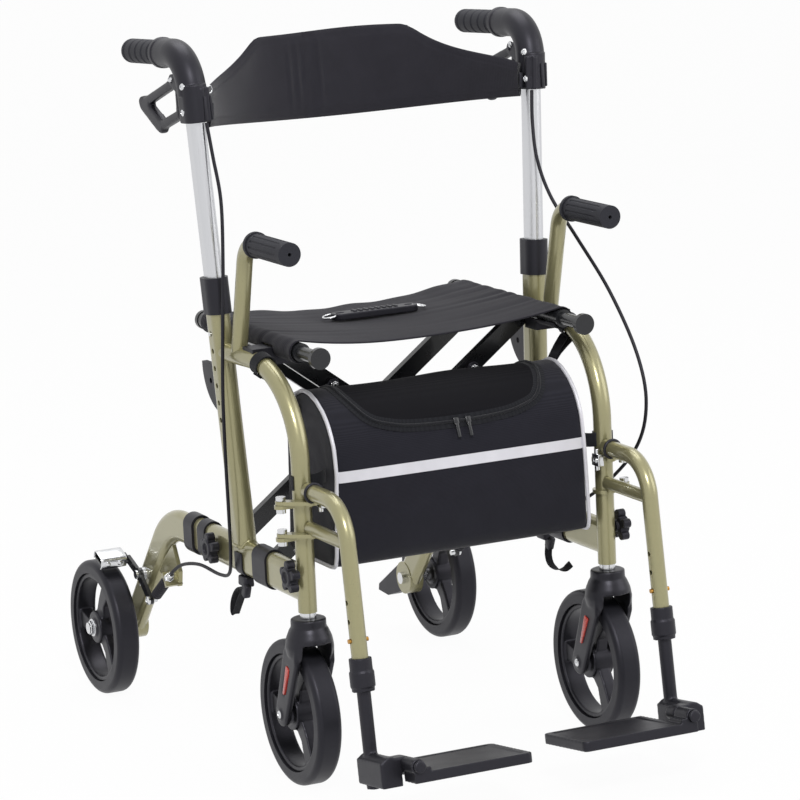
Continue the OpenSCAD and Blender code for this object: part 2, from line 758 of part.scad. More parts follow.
module left_handle_grip() {
    color(black) on_upright() difference() {
        union() {
            pin_y_axis(0, grip_start, grip_start + grip_l - 9, grip_s, grip_d);
            translate([0, grip_start + grip_l - 9, grip_s]) rotate([-90, 0, 0]) rotate_extrude() {
                square([grip_d / 2 - 9, 9]);
                intersection() {
                    translate([grip_d / 2 - 9, 0]) circle(r = 9);
                    square([grip_d, 9]);
                }
            }
        }
        pin_y_axis(0, grip_start - 1, grip_start + grip_l - 12, grip_s, grip_d - 12);
        for (i = [0 : 4]) translate([0, grip_start + 14 + i * (grip_l - 30) / 4, grip_s]) rotate([-90, 0, 0])
            rotate_extrude() translate([grip_d / 2 + 5, 0]) circle(r = 6.2);
    }
}

lever_tip = [176, 622];
lever_low = [120, 593];
lever_back = [46, 612];

module left_brake_lever() {
    a = [lever_y, lever_s];
    color(black) on_upright() difference() {
        side_plate(-lever_t / 2, lever_t / 2) {
            bar2(a, lever_tip, 13);
            bar2(lever_tip, lever_low, 22);
            bar2(lever_low, lever_back, 13);
            bar2(lever_back, a, 11);
            translate(a) circle(d = 17);
        }
        pin_x_axis(-lever_t, lever_t, lever_y, lever_s, lever_pin + 2 * run);
    }
}

// Scissor brace and seat

module brace_bar(y) {
    translate([-pin_x, y, rail_z]) rotate([0, -theta, 0]) translate([0, -bar_t / 2, -bar_h / 2])
        cube([brace_l, bar_t, bar_h]);
}

module brace(y_front, y_back) {
    mid = brace_l * pin_x / (pin_x + seat_x);
    difference() {
        union() {
            brace_bar(y_front);
            brace_bar(y_back);
            pin_y_axis(-pin_x, -sleeve_y, sleeve_y, rail_z, sleeve_d);
            children(0);
        }
        pin_y_axis(-pin_x, -sleeve_y - 1, sleeve_y + 1, rail_z, pin_d + 2 * run);
        pin_y_axis(seat_x, seat_front, seat_rear, seat_z, seat_d);
        // Room for the seat cloth's sleeve above the weld
        translate([seat_x - seat_d, -sleeve_y - 1, seat_z - 6 - gap]) cube([2 * seat_d, 2 * sleeve_y + 2, seat_d + 10]);
        children(1);
    }
}

brace_mid_z = rail_z + (seat_z - rail_z) * pin_x / (pin_x + seat_x);

module brace_a() {
    color(black) brace(bar_front, bar_back) {
        for (y = [bar_front, bar_back]) {
            pin_y_axis(0, y, y + bar_step + bar_t / 2 + 4, brace_mid_z, pin_d);
            pin_y_axis(0, y + bar_step + bar_t / 2 + gap, y + bar_step + bar_t / 2 + 6, brace_mid_z, pin_d + 8);
            pin_y_axis(0, y - bar_t / 2 - 4, y, brace_mid_z, pin_d + 8);
        }
        union() {}
    }
}

module brace_b() {
    color(black) right_hand() brace(bar_front + bar_step, bar_back + bar_step) {
        union() {}
        pin_y_axis(0, bar_front, bar_back + 2 * bar_step, brace_mid_z, pin_d + 2 * run);
    }
}

module left_seat_rail() {
    tip = seat_front - 52;
    color(black) difference() {
        union() {
            pin_y_axis(-seat_x, seat_front, seat_rear, seat_z, seat_d);
            pin_y_axis(-seat_x, tip, seat_front, seat_z, seat_d - 7);
            pin_y_axis(-seat_x, tip - 8, tip, seat_z, seat_d + 4);
            pin_y_axis(-seat_x, seat_rear, seat_rear + 8, seat_z, seat_d + 2);
        }
        pin_y_axis(-seat_x, seat_front + 6, seat_rear - 4, seat_z, seat_d - 2 * tube_wall);
    }
}

cloth_front = seat_front + 4;
cloth_rear = seat_rear - 16;

module seat_sling() {
    top = seat_z + seat_d / 2 + gap + seat_t / 2;
    color("#26262a") difference() {
        union() {
            intersection() {
                difference() {
                    pin_y_axis(0, cloth_front, cloth_rear, top - seat_sag + seat_r, 2 * seat_r + seat_t, $fn = 400);
                    pin_y_axis(0, cloth_front - 1, cloth_rear + 1, top - seat_sag + seat_r, 2 * seat_r - seat_t,
                        $fn = 400);
                }
                translate([-seat_x, cloth_front, seat_z - 40]) cube([2 * seat_x, cloth_rear - cloth_front, 80]);
            }
            for (s = [-1, 1]) pin_y_axis(s * seat_x, cloth_front, cloth_rear, seat_z, seat_d + 2 * gap + 2 * seat_t);
        }
        for (s = [-1, 1]) {
            pin_y_axis(s * seat_x, cloth_front - 1, cloth_rear + 1, seat_z, seat_d + 2 * gap);
            // Windows where the brace bars meet the rails
            translate([s * seat_x - seat_d, bar_front - bar_t, seat_z - seat_d - 20])
                cube([2 * seat_d, bar_back - bar_front + bar_step + 2 * bar_t, seat_d + 14]);
            // Cut-outs over the saddles
            translate([s * seat_x - seat_d, saddle_y - 19, seat_z - seat_d - 20]) cube([2 * seat_d, 38, seat_d + 22]);
        }
        // Hollow front edge
        translate([0, cloth_front + 24 - 820, seat_z - 40]) cylinder(r = 820, h = 80, $fn = 300);
    }
}

module seat_handle() {
    z = seat_z + seat_d / 2 + gap + seat_t - seat_sag + 66 * 66 / (2 * seat_r) + seat_gap;
    color(black) translate([0, 3, z]) difference() {
        linear_extrude(height = 9) oval(132, 26);
        for (s = [-1, 1]) translate([s * 54, 0, -1]) linear_extrude(height = 12) oval(14, 7);
        translate([0, 0, -20]) linear_extrude(height = 24) oval(92, 14);
    }
}

// Footrests

module on_leg() {
    translate([-hang_x, hang_corner, hang_z]) rotate([-foot_lean, 0, 0]) children();
}

leg_end = [hang_corner + collar_s * sin(foot_lean), hang_z + collar_s * cos(foot_lean)];
hang_rear = post_y - post_d / 2 - 3;
hang_pts = [[hang_rear, hang_z], [hang_corner, hang_z], leg_end];
brace_z = lug_low + lug_t + 10.5;

module left_hanger() {
    brace_y = hang_corner + (brace_z - hang_z) * tan(foot_lean);
    color(gold) difference() {
        union() {
            side(-hang_x) bent(hang_pts, 56) circle(d = hang_d);
            pin_y_axis(-hang_x, brace_y, hang_rear, brace_z, 18);
            for (z = [lug_up, lug_low])
                lug_plate(z + lug_t + gap, [-hang_x, post_y - post_d / 2 - 14], 15);
            translate([-hang_x, post_y - post_d / 2 - 14, lug_up + lug_t + gap])
                cylinder(d = 15, h = hang_z - lug_up - lug_t - gap);
        }
        // The bore is left solid where the brace tube is welded on
        pin_y_axis(-hang_x, hang_corner + 58, hang_rear + 1, hang_z, stem_d + 2 * gap);
        on_leg() translate([0, 0, collar_s - 1]) cylinder(d = stem_d + 2 * gap, h = -collar_s - 83);
        translate([-frame_x, post_y, lug_low]) cylinder(d = post_d + 4 * gap, h = 120);
        translate([-pivot_x, post_y, lug_low - 1]) cylinder(d = bolt_d + 2 * run, h = 80);
        for (i = [0 : 2]) on_leg() translate([0, 0, button_s + i * foot_pitch])
            pin_x_axis(-hang_d, hang_d, 0, 0, 7);
    }
}

module left_foot_collar() {
    color(black) on_leg() difference() {
        union() {
            translate([0, 0, collar_s - 14]) cylinder(d = hang_d + 8, h = 44);
            translate([0, 0, collar_s - 8]) cylinder(d = hang_d + 11, h = 20);
        }
        translate([0, 0, collar_s]) cylinder(d = hang_d, h = 60);
        translate([0, 0, collar_s - 20]) cylinder(d = stem_d + 2 * gap, h = 30);
    }
}

module left_foot_stem() {
    hinge = hang_x - plate_hinge_x;
    front = -plate_l / 2 - 2;
    color(black) on_leg() {
        difference() {
            translate([0, 0, foot_low]) cylinder(d = stem_d, h = -foot_low - 150);
            translate([0, 0, foot_low - 1]) cylinder(d = stem_d - 2 * tube_wall, h = -foot_low - 151);
            translate([0, 0, button_s]) pin_x_axis(-stem_d, stem_d, 0, 0, 6.4);
        }
        difference() {
            union() {
                translate([-block_w / 2, front, foot_low + 8]) cube([block_w, stem_d / 2 + 5 - front, 34]);
                translate([0, front, foot_low + 42 - block_w / 2 + 6]) rotate([-90, 0, 0])
                    cylinder(d = block_w, h = stem_d / 2 + 5 - front);
                pin_y_axis(hinge, front, front + 24, plate_hinge_s, hinge_pin + 8);
                translate([0, front, plate_hinge_s - hinge_pin / 2 - 4]) cube([hinge, 24, hinge_pin + 8]);
            }
            translate([0, 0, foot_low - 1]) cylinder(d = stem_d, h = -foot_low);
        }
        pin_y_axis(hinge, front - 38, front + 1, plate_hinge_s, hinge_pin);
        pin_y_axis(hinge, front - 42, front - 36 - gap, plate_hinge_s, hinge_pin + 5);
    }
}

module left_footplate() {
    hinge = hang_x - plate_hinge_x;
    front = -plate_l / 2 - 2;
    y0 = front - 36;
    top = plate_hinge_s - 8;
    inner = hinge + plate_reach;
    color(black) on_leg() difference() {
        union() {
            translate([0, 0, top - plate_t]) linear_extrude(height = plate_t) difference() {
                union() {
                    translate([hinge + 14, y0]) square([plate_reach - 22, plate_l]);
                    translate([hinge + 14, y0 + 8]) square([plate_reach - 14, plate_l - 16]);
                    for (y = [y0 + 8, y0 + plate_l - 8]) translate([inner - 8, y]) circle(r = 8);
                }
            }
            // Hinge knuckle in front of the bracket
            pin_y_axis(hinge, y0, front - gap, plate_hinge_s, hinge_pin + 8);
            translate([hinge - 6, y0, top - plate_t]) cube([24, front - gap - y0, plate_t + 6]);
        }
        pin_y_axis(hinge, y0 - 1, front + 1, plate_hinge_s, hinge_pin + 2 * run);
        // Shallow tread recess and grooves
        translate([hinge + 24, y0 + 7, top - 1.2]) cube([plate_reach - 34, plate_l - 14, 2]);
        // Hollow underside
        translate([hinge + 22, y0 + 6, top - plate_t - 1]) cube([plate_reach - 30, plate_l - 12, plate_t - 4]);
    }
}

module left_foot_button() {
    color("#b98a44") on_leg() translate([0, 0, button_s])
        pin_x_axis(-hang_d / 2 - 3, hang_d / 2 + 3, 0, 0, 6);
}

// Cloth pieces

// A web loop round the bend of the front tube, from one angle of the bend on
module strap_loop(from, span, d) {
    at_post() side(0) translate([front_bend, front_z - front_bend]) rotate([0, 0, from])
        rotate_extrude(angle = span) translate([front_bend, 0]) circle(d = d);
}

module bag_strap() {
    tube_x = frame_x + (strap_y - post_y) * tan(toe);
    hook = post_d / 2 + gap;
    difference() {
        union() {
            strap_loop(strap_angle, strap_span, 2 * hook + 5);
            translate([0, strap_y + strap_w / 2, 0]) rotate([90, 0, 0]) linear_extrude(height = strap_w)
                polygon([[-tube_x - 2, front_z - hook - 3.2], [-tube_x + 3, front_z - hook - 2.6],
                    [-bag_x + 2, bag_top - 26], [-bag_x + 1, bag_top - 34]]);
        }
        strap_loop(strap_angle - 6, strap_span + 12, 2 * hook);
    }
}

module bag() {
    r = 95;
    color("#1d1e22") {
        side_plate(-bag_x, bag_x) {
            translate([bag_front, bag_low]) square([bag_back - bag_front, bag_top - r - bag_low]);
            intersection() {
                translate([bag_front + r, bag_top - r]) circle(r = r);
                translate([bag_front, bag_top - r - 1]) square([r + 1, r + 1]);
            }
            polygon([[bag_front + r, bag_top - r - 1], [bag_back, bag_top - r - 1], [bag_back, bag_top - 22],
                [bag_front + r, bag_top]]);
        }
        bag_strap();
        right_hand() bag_strap();
    }
}

module backrest() {
    c = back_y + back_bow - back_r;
    low = handle_z - 55;
    high = handle_z + 16;
    color("#2a2a2e") intersection() {
        translate([0, c, low - 60]) difference() {
            cylinder(r = back_r + back_t / 2, h = 260, $fn = 96);
            translate([0, 0, -1]) cylinder(r = back_r - back_t / 2, h = 262, $fn = 96);
        }
        translate([0, back_y + 200, 0]) rotate([90, 0, 0]) linear_extrude(height = 206)
            polygon([[-back_half, low], [-back_half * 0.6, low - 16], [0, low - 20], [back_half * 0.6, low - 16],
                [back_half, low], [back_half, high], [back_half * 0.78, high + 12], [back_half * 0.48, high + 52],
                [0, high + 58], [-back_half * 0.48, high + 52], [-back_half * 0.78, high + 12], [-back_half, high]]);
    }
}

left_rail();
left_upright();
left_front_tube();
left_rear_leg();
left_arm_grip();
left_fittings();
left_hardware();
left_cable();
left_front_knob();
left_rear_knob();
left_rear_tyre();
left_rear_core();
left_brake_arm();
left_caster_fork();
left_front_tyre();
left_front_core();
left_handle_tube();
left_handle_housing();
left_handle_grip();
left_brake_lever();
left_height_button();
left_hanger();
left_foot_collar();
left_foot_stem();
left_footplate();
left_foot_button();
right_hand() left_rail();  // right_rail
right_hand() left_upright();  // right_upright
right_hand() left_front_tube();  // right_front_tube
right_hand() left_rear_leg();  // right_rear_leg
right_hand() left_arm_grip();  // right_arm_grip
right_hand() left_fittings();  // right_fittings
right_hand() left_hardware();  // right_hardware
right_cable();
right_hand() left_front_knob();  // right_front_knob
right_hand() left_rear_knob();  // right_rear_knob
right_hand() left_rear_tyre();  // right_rear_tyre
right_hand() left_rear_core();  // right_rear_core
right_hand() left_brake_arm();  // right_brake_arm
right_hand() left_caster_fork();  // right_caster_fork
right_hand() left_front_tyre();  // right_front_tyre
right_hand() left_front_core();  // right_front_core
right_hand() left_handle_tube();  // right_handle_tube
right_hand() left_handle_housing();  // right_handle_housing
right_hand() left_handle_grip();  // right_handle_grip
right_hand() left_brake_lever();  // right_brake_lever
right_hand() left_height_button();  // right_height_button
right_hand() left_hanger();  // right_hanger
right_hand() left_foot_collar();  // right_foot_collar
right_hand() left_foot_stem();  // right_foot_stem
right_hand() left_footplate();  // right_footplate
right_hand() left_foot_button();  // right_foot_button
brace_a();
brace_b();
left_seat_rail();
right_hand() left_seat_rail();  // right_seat_rail
seat_sling();
seat_handle();
bag();
backrest();
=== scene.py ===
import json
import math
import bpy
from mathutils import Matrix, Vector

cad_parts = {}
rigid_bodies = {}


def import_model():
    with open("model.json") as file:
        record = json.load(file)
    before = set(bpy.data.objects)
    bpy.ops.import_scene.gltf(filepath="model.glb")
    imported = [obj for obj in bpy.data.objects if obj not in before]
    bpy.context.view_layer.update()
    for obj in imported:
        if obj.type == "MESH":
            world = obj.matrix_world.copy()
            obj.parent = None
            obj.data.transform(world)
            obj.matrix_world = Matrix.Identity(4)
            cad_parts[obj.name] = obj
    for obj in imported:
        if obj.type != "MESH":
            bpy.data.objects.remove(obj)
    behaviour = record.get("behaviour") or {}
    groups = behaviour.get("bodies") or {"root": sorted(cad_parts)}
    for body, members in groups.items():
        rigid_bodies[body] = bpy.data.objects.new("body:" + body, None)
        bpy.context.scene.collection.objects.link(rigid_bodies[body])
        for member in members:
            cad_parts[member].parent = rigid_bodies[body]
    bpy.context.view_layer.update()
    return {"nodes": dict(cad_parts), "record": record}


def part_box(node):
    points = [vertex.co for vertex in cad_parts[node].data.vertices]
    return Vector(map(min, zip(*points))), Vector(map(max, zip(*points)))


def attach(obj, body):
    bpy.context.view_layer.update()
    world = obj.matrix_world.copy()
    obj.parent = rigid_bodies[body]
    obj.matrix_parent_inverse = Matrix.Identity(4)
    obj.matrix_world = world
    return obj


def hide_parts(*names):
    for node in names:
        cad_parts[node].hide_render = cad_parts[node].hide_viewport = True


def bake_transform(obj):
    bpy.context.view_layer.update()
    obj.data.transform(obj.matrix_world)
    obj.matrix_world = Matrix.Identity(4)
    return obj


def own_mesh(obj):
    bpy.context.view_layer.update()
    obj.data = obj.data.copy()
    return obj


bl_info = {
    "name": "Rollator transport chair",
    "version": (1, 0, 0),
    "blender": (4, 5, 0),
    "location": "3D View > Sidebar > Rollator",
    "description": "Dresses the rollator transport chair with cloth, cables, trim and finishes",
    "category": "Object",
}

import bmesh
import bpy
from bpy.props import FloatProperty, FloatVectorProperty, PointerProperty
from mathutils import Matrix, Vector

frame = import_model()
SLOT_OF = {row["node"]: row["material_slot"] for row in frame["record"]["subparts"]}
SIDES = (("left", -1), ("right", 1))


def linear(code):
    """Turns an sRGB hex colour into linear red, green, blue and alpha."""
    parts = [int(code[i:i + 2], 16) / 255 for i in (0, 2, 4)]
    return tuple(p / 12.92 if p <= 0.04045 else ((p + 0.055) / 1.055) ** 2.4 for p in parts) + (1.0,)


def colour(name, description, code):
    """A colour that a user may change."""
    return FloatVectorProperty(name=name, description=description, subtype="COLOR", size=4,
                               min=0.0, max=1.0, default=linear(code))


def length(name, description, value):
    """A length that a user may change, in metres."""
    return FloatProperty(name=name, description=description, unit="LENGTH", default=value, min=0.0)


class ChairColours(bpy.types.PropertyGroup):
    """Colours of the finishes."""
    paint: colour("Frame paint", "Champagne powder coat of the frame", "9A956F")
    tube: colour("Handle tube", "Satin anodised handle tubes", "CFD0D3")
    plastic: colour("Moulded black", "Nylon of housings, forks and fittings", "16161A")
    enamel: colour("Black enamel", "Brace bars and seat rails", "1B1C1F")
    tyre: colour("Tyre", "Solid tyres", "1B1B1F")
    rubber: colour("Grip", "Hand and arm grips", "222327")
    seat: colour("Seat cloth", "Woven seat cloth", "212026")
    back: colour("Backrest cloth", "Knitted cover of the backrest", "2C2B31")
    bag: colour("Bag cloth", "Coated bag cloth", "1E1E25")
    trim: colour("Reflective trim", "Piping and strip of the bag", "D3D2D8")
    reflector: colour("Reflector", "Side reflectors of the caster forks", "C4453C")
    brass: colour("Brass", "Footrest buttons", "B98A44")


class ChairSizes(bpy.types.PropertyGroup):
    """Sizes of the pieces that dress the chair."""
    seat_thick: length("Seat cloth", "Thickness of the seat cloth", 0.0026)
    back_thick: length("Backrest pad", "Thickness of the backrest in its middle", 0.0085)
    back_hem: length("Backrest hem", "Thickness of the backrest at its hem", 0.0036)
    piping: length("Piping", "Diameter of the bag's piping", 0.0056)
    strip: length("Strip", "Width of the reflective strip", 0.0150)
    zip_tape: length("Zip tape", "Width of the zip's two tapes", 0.0170)
    cable: length("Cable", "Diameter of the brake cables", 0.0050)
    strap: length("Strap", "Width of the webbing", 0.0250)


# Selection and finishing

def deselect():
    """Back to object mode with nothing selected."""
    if bpy.context.object and bpy.context.object.mode != "OBJECT":
        bpy.ops.object.mode_set(mode="OBJECT")
    bpy.ops.object.select_all(action="DESELECT")


def take(obj):
    """Makes one object the only selected one."""
    deselect()
    bpy.context.view_layer.objects.active = obj
    obj.select_set(True)
    return obj


def settled(obj):
    """Puts an object's place, turn and size into its mesh."""
    take(obj)
    bpy.ops.object.transform_apply(location=True, rotation=True, scale=True)
    return obj


def pick(obj, test, kind="FACE"):
    """Opens edit mode and selects the faces or edges that pass the test."""
    take(obj)
    bpy.ops.object.mode_set(mode="EDIT")
    bpy.ops.mesh.select_mode(type=kind)
    bpy.ops.mesh.select_all(action="DESELECT")
    mesh = bmesh.from_edit_mesh(obj.data)
    for part in mesh.faces if kind == "FACE" else mesh.edges:
        if test(part):
            part.select_set(True)
    mesh.select_flush_mode()
    bmesh.update_edit_mesh(obj.data)


def applied(obj, kind, **settings):
    """Adds one modifier with its settings and applies it."""
    take(obj)
    modifier = obj.modifiers.new(kind.title(), kind)
    for key, value in settings.items():
        setattr(modifier, key, value)
    bpy.ops.object.modifier_apply(modifier=modifier.name)
    return obj


def clean(obj, outward=True, merge=0.00001):
    """Merges doubles and turns the faces outwards."""
    take(obj)
    bpy.ops.object.mode_set(mode="EDIT")
    bpy.ops.mesh.select_all(action="SELECT")
    bpy.ops.mesh.remove_doubles(threshold=merge)
    if outward:
        bpy.ops.mesh.normals_make_consistent(inside=False)
    bpy.ops.object.mode_set(mode="OBJECT")
    return obj


def dressed(obj, name, body, slot, material, smooth=40):
    """Names a finished piece, puts its place in its mesh, shades it and lets it ride on its body."""
    settled(obj)
    obj.name = name
    obj.data.name = name
    obj.data.materials.clear()
    obj.data.materials.append(material)
    bpy.ops.object.shade_smooth_by_angle(angle=math.radians(smooth))
    if body:
        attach(obj, body)
    return obj


def copy_of(obj):
    """A copy with its own mesh."""
    twin = obj.copy()
    twin.data = obj.data.copy()
    bpy.context.scene.collection.objects.link(twin)
    return twin


def joined(pieces):
    """Joins several meshes into the first."""
    take(pieces[0])
    for piece in pieces:
        piece.select_set(True)
    bpy.ops.object.join()
    return pieces[0]


def grid(columns, rows, place):
    """A grid whose every point goes where place(u, v) says, u and v from 0 to 1."""
    deselect()
    bpy.ops.mesh.primitive_grid_add(x_subdivisions=columns, y_subdivisions=rows, size=1.0)
    obj = bpy.context.object
    for point in obj.data.vertices:
        point.co = place(point.co.x + 0.5, point.co.y + 0.5)
    return obj


def tube(points, diameter, closed=False, sides=3):
    """A round tube along a line of points, as a mesh."""
    line = bpy.data.curves.new("line", "CURVE")
    line.dimensions = "3D"
    line.bevel_depth = diameter / 2
    line.bevel_resolution = sides
    line.use_fill_caps = True
    spline = line.splines.new("POLY")
    spline.points.add(len(points) - 1)
    for point, place in zip(spline.points, points):
        point.co = (*place, 1.0)
    spline.use_cyclic_u = closed
    obj = bpy.data.objects.new("line", line)
    bpy.context.scene.collection.objects.link(obj)
    take(obj)
    bpy.ops.object.convert(target="MESH")
    return clean(bpy.context.object)


def ribbon(points, normals, width, thick):
    """A flat band along a line of points, lying square to the normals."""
    last = len(points) - 1

    def place(u, v):
        i = round(v * last)
        way = (points[min(i + 1, last)] - points[max(i - 1, 0)]).normalized()
        across = way.cross(normals[i]).normalized()
        return points[i] + across * (u - 0.5) * width

    obj = grid(4, last, place)
    obj.data.update()
    applied(obj, "SOLIDIFY", thickness=thick, offset=0.0)
    return clean(obj)


def capped(obj):
    """Closes the open ends of a sleeve, those left of the middle and then those right of it."""
    for s in (-1, 1):
        pick(obj, lambda e: e.is_boundary and all(s * v.co.x > 0 for v in e.verts), "EDGE")
        bpy.ops.mesh.edge_face_add()
        bpy.ops.object.mode_set(mode="OBJECT")
    return obj


def curve_through(points, steps):
    """A smooth line through the points, the same as the solid cable's."""
    places = [Vector(p) for p in points]
    line = []
    for i in range(len(places) - 1):
        a, b = places[max(i - 1, 0)], places[i]
        c, d = places[i + 1], places[min(i + 2, len(places) - 1)]
        for k in range(steps):
            t = k / steps
            line.append(0.5 * (2 * b + (c - a) * t + (2 * a - 5 * b + 4 * c - d) * t * t
                               + (3 * b - a - 3 * c + d) * t ** 3))
    return line + [places[-1]]


def run_of(points):
    """Length of a line of points."""
    return sum((b - a).length for a, b in zip(points, points[1:]))


def bump_at(x, middle, width):
    """A smooth bump of height 1."""
    return math.exp(-((x - middle) / width) ** 2)


# Materials

def add(tree, kind, settings=(), links=()):
    """Adds one node with its settings and its incoming links."""
    node = tree.nodes.new(kind)
    for key, value in dict(settings).items():
        if isinstance(key, int) or key in node.inputs:
            node.inputs[key].default_value = value
        else:
            setattr(node, key, value)
    for key, (source, output) in dict(links).items():
        tree.links.new(source.outputs[output], node.inputs[key])
    return node


# A cool tint for the shine of the black pieces
COOL = (0.88, 0.86, 1.0, 1.0)


def finish(name, settings):
    """A new material with its shader's plain settings."""
    material = bpy.data.materials.new(name)
    material.use_nodes = True
    shader = material.node_tree.nodes["Principled BSDF"]
    for key, value in settings.items():
        shader.inputs[key].default_value = value
    return material, material.node_tree, shader


def mottled(tree, shader, place, shade, size, depth):
    """Varies the colour a little in spots of one size, in metres."""
    spots = add(tree, "ShaderNodeTexNoise", {"Scale": 1 / size, "Detail": 3.0}, {"Vector": place})
    dark = tuple(c * (1 - depth) for c in shade[:3]) + (1.0,)
    light = tuple(min(1.0, c * (1 + depth)) for c in shade[:3]) + (1.0,)
    mix = add(tree, "ShaderNodeMix", {"data_type": "RGBA", 6: dark, 7: light}, {0: (spots, 0)})
    tree.links.new(mix.outputs[2], shader.inputs["Base Color"])
    return spots


def roughened(tree, shader, spots, low, high):
    """Lets the gloss follow a pattern."""
    span = add(tree, "ShaderNodeMapRange", {"To Min": low, "To Max": high}, {"Value": (spots, 0)})
    tree.links.new(span.outputs[0], shader.inputs["Roughness"])


def raised(tree, shader, height, depth, strength=1.0):
    """Bumps the surface by a pattern, depth in metres."""
    bump = add(tree, "ShaderNodeBump", {"Distance": depth, "Strength": strength}, {"Height": height})
    tree.links.new(bump.outputs[0], shader.inputs["Normal"])
    return bump


def powder_coat(shade):
    """Metallic powder coat: fine flakes under a thin clear skin with a faint orange peel."""
    material, tree, shader = finish("Champagne_powder_coat", {"Metallic": 0.5, "Coat Weight": 0.6,
                                                              "Coat Roughness": 0.08})
    place = (add(tree, "ShaderNodeTexCoord"), "Object")
    spots = mottled(tree, shader, place, shade, 0.0012, 0.12)
    roughened(tree, shader, spots, 0.24, 0.36)
    peel = add(tree, "ShaderNodeTexNoise", {"Scale": 1 / 0.003, "Detail": 1.0}, {"Vector": place})
    raised(tree, shader, (peel, 0), 0.0001, 0.25)
    return material


def anodised(shade):
    """Anodised aluminium: drawn tube, so fine lines run along it and stretch its highlights."""
    material, tree, shader = finish("Satin_anodised_aluminium", {"Metallic": 1.0})
    coords = add(tree, "ShaderNodeTexCoord")
    stretch = add(tree, "ShaderNodeMapping", {"Scale": (1.0, 1.0, 0.01)}, {"Vector": (coords, "Object")})
    lines = mottled(tree, shader, (stretch, 0), shade, 0.0008, 0.05)
    roughened(tree, shader, lines, 0.24, 0.36)
    raised(tree, shader, (lines, 0), 0.00003, 0.3)
    return material


def plated(shade):
    """Bright zinc plate: a clear grey mirror with a faint haze."""
    material, tree, shader = finish("Zinc_plated_steel", {"Metallic": 1.0})
    place = (add(tree, "ShaderNodeTexCoord"), "Object")
    haze = mottled(tree, shader, place, shade, 0.004, 0.06)
    roughened(tree, shader, haze, 0.14, 0.28)
    return material


def enamel(shade):
    """Black stoved enamel on steel: deep gloss over a slightly wavy skin."""
    material, tree, shader = finish("Black_stoved_enamel", {"Coat Weight": 0.25, "Coat Roughness": 0.06,
                                                            "Specular IOR Level": 0.35})
    place = (add(tree, "ShaderNodeTexCoord"), "Object")
    cloud = mottled(tree, shader, place, shade, 0.02, 0.15)
    roughened(tree, shader, cloud, 0.22, 0.34)
    peel = add(tree, "ShaderNodeTexNoise", {"Scale": 1 / 0.004, "Detail": 1.0}, {"Vector": place})
    raised(tree, shader, (peel, 0), 0.0001, 0.2)
    return material


def moulded(name, shade, low, high, grain):
    """Spark-eroded nylon mould: a fine even grain that breaks the highlight."""
    material, tree, shader = finish(name, {"IOR": 1.53, "Specular IOR Level": 0.36, "Specular Tint": COOL})
    place = (add(tree, "ShaderNodeTexCoord"), "Object")
    cloud = mottled(tree, shader, place, shade, 0.03, 0.12)
    roughened(tree, shader, cloud, low, high)
    # The real grain is about 0.2 mm; it is drawn coarser so that it shows
    pits = add(tree, "ShaderNodeTexNoise", {"Scale": 1 / grain, "Detail": 2.0}, {"Vector": place})
    raised(tree, shader, (pits, 0), 0.00012, 0.35)
    return material


def rubber(name, shade, dust, gloss):
    """Moulded rubber: matt, with pale dust in soft clouds; gloss smooths it a little."""
    material, tree, shader = finish(name, {"IOR": 1.5, "Specular IOR Level": 0.32, "Specular Tint": COOL})
    place = (add(tree, "ShaderNodeTexCoord"), "Object")
    cloud = mottled(tree, shader, place, shade, 0.025, dust)
    roughened(tree, shader, cloud, 0.52 - gloss, 0.68 - gloss)
    pores = add(tree, "ShaderNodeTexNoise", {"Scale": 1 / 0.0009, "Detail": 2.0}, {"Vector": place})
    raised(tree, shader, (pores, 0), 0.0002, 0.4)
    return material


def woven(name, shade, size, thread, rib, sheen):
    """Woven cloth: two crossing threads on the piece's own map, a soft sheen and slight fading.
    size is the map's width and length, thread the spacing, drawn a little coarse so that it shows."""
    material, tree, shader = finish(name, {"Roughness": 0.82, "Sheen Weight": sheen, "Sheen Roughness": 0.45,
                                           "IOR": 1.45, "Specular IOR Level": 0.2, "Specular Tint": COOL})
    coords = add(tree, "ShaderNodeTexCoord")
    flat = add(tree, "ShaderNodeMapping", {"Scale": (size[0], size[1], 1.0)}, {"Vector": (coords, "UV")})
    # A wave texture repeats once in 2 pi / 20 of its vector
    period = math.pi / 10
    on_map = {"Vector": (flat, 0)}
    warp = add(tree, "ShaderNodeTexWave", {"bands_direction": "X", "Scale": period / thread}, on_map)
    weft = add(tree, "ShaderNodeTexWave", {"bands_direction": "Y", "Scale": period / rib}, on_map)
    cross = add(tree, "ShaderNodeMath", {"operation": "MULTIPLY"}, {0: (warp, 1), 1: (weft, 1)})
    cloud = mottled(tree, shader, (coords, "Object"), shade, 0.03, 0.16)
    weave = add(tree, "ShaderNodeMath", {"operation": "ADD"}, {0: (cross, 0), 1: (weft, 1)})
    dim = add(tree, "ShaderNodeMapRange", {"From Max": 2.0, "To Min": 0.75, "To Max": 1.15},
              {"Value": (weave, 0)})
    mix = shader.inputs["Base Color"].links[0].from_node
    shaded = add(tree, "ShaderNodeMix", {"data_type": "RGBA", "blend_type": "MULTIPLY", 0: 1.0},
                 {6: (mix, 2), 7: (dim, 0)})
    tree.links.new(shaded.outputs[2], shader.inputs["Base Color"])
    raised(tree, shader, (weave, 0), 0.00025, 0.5)
    return material


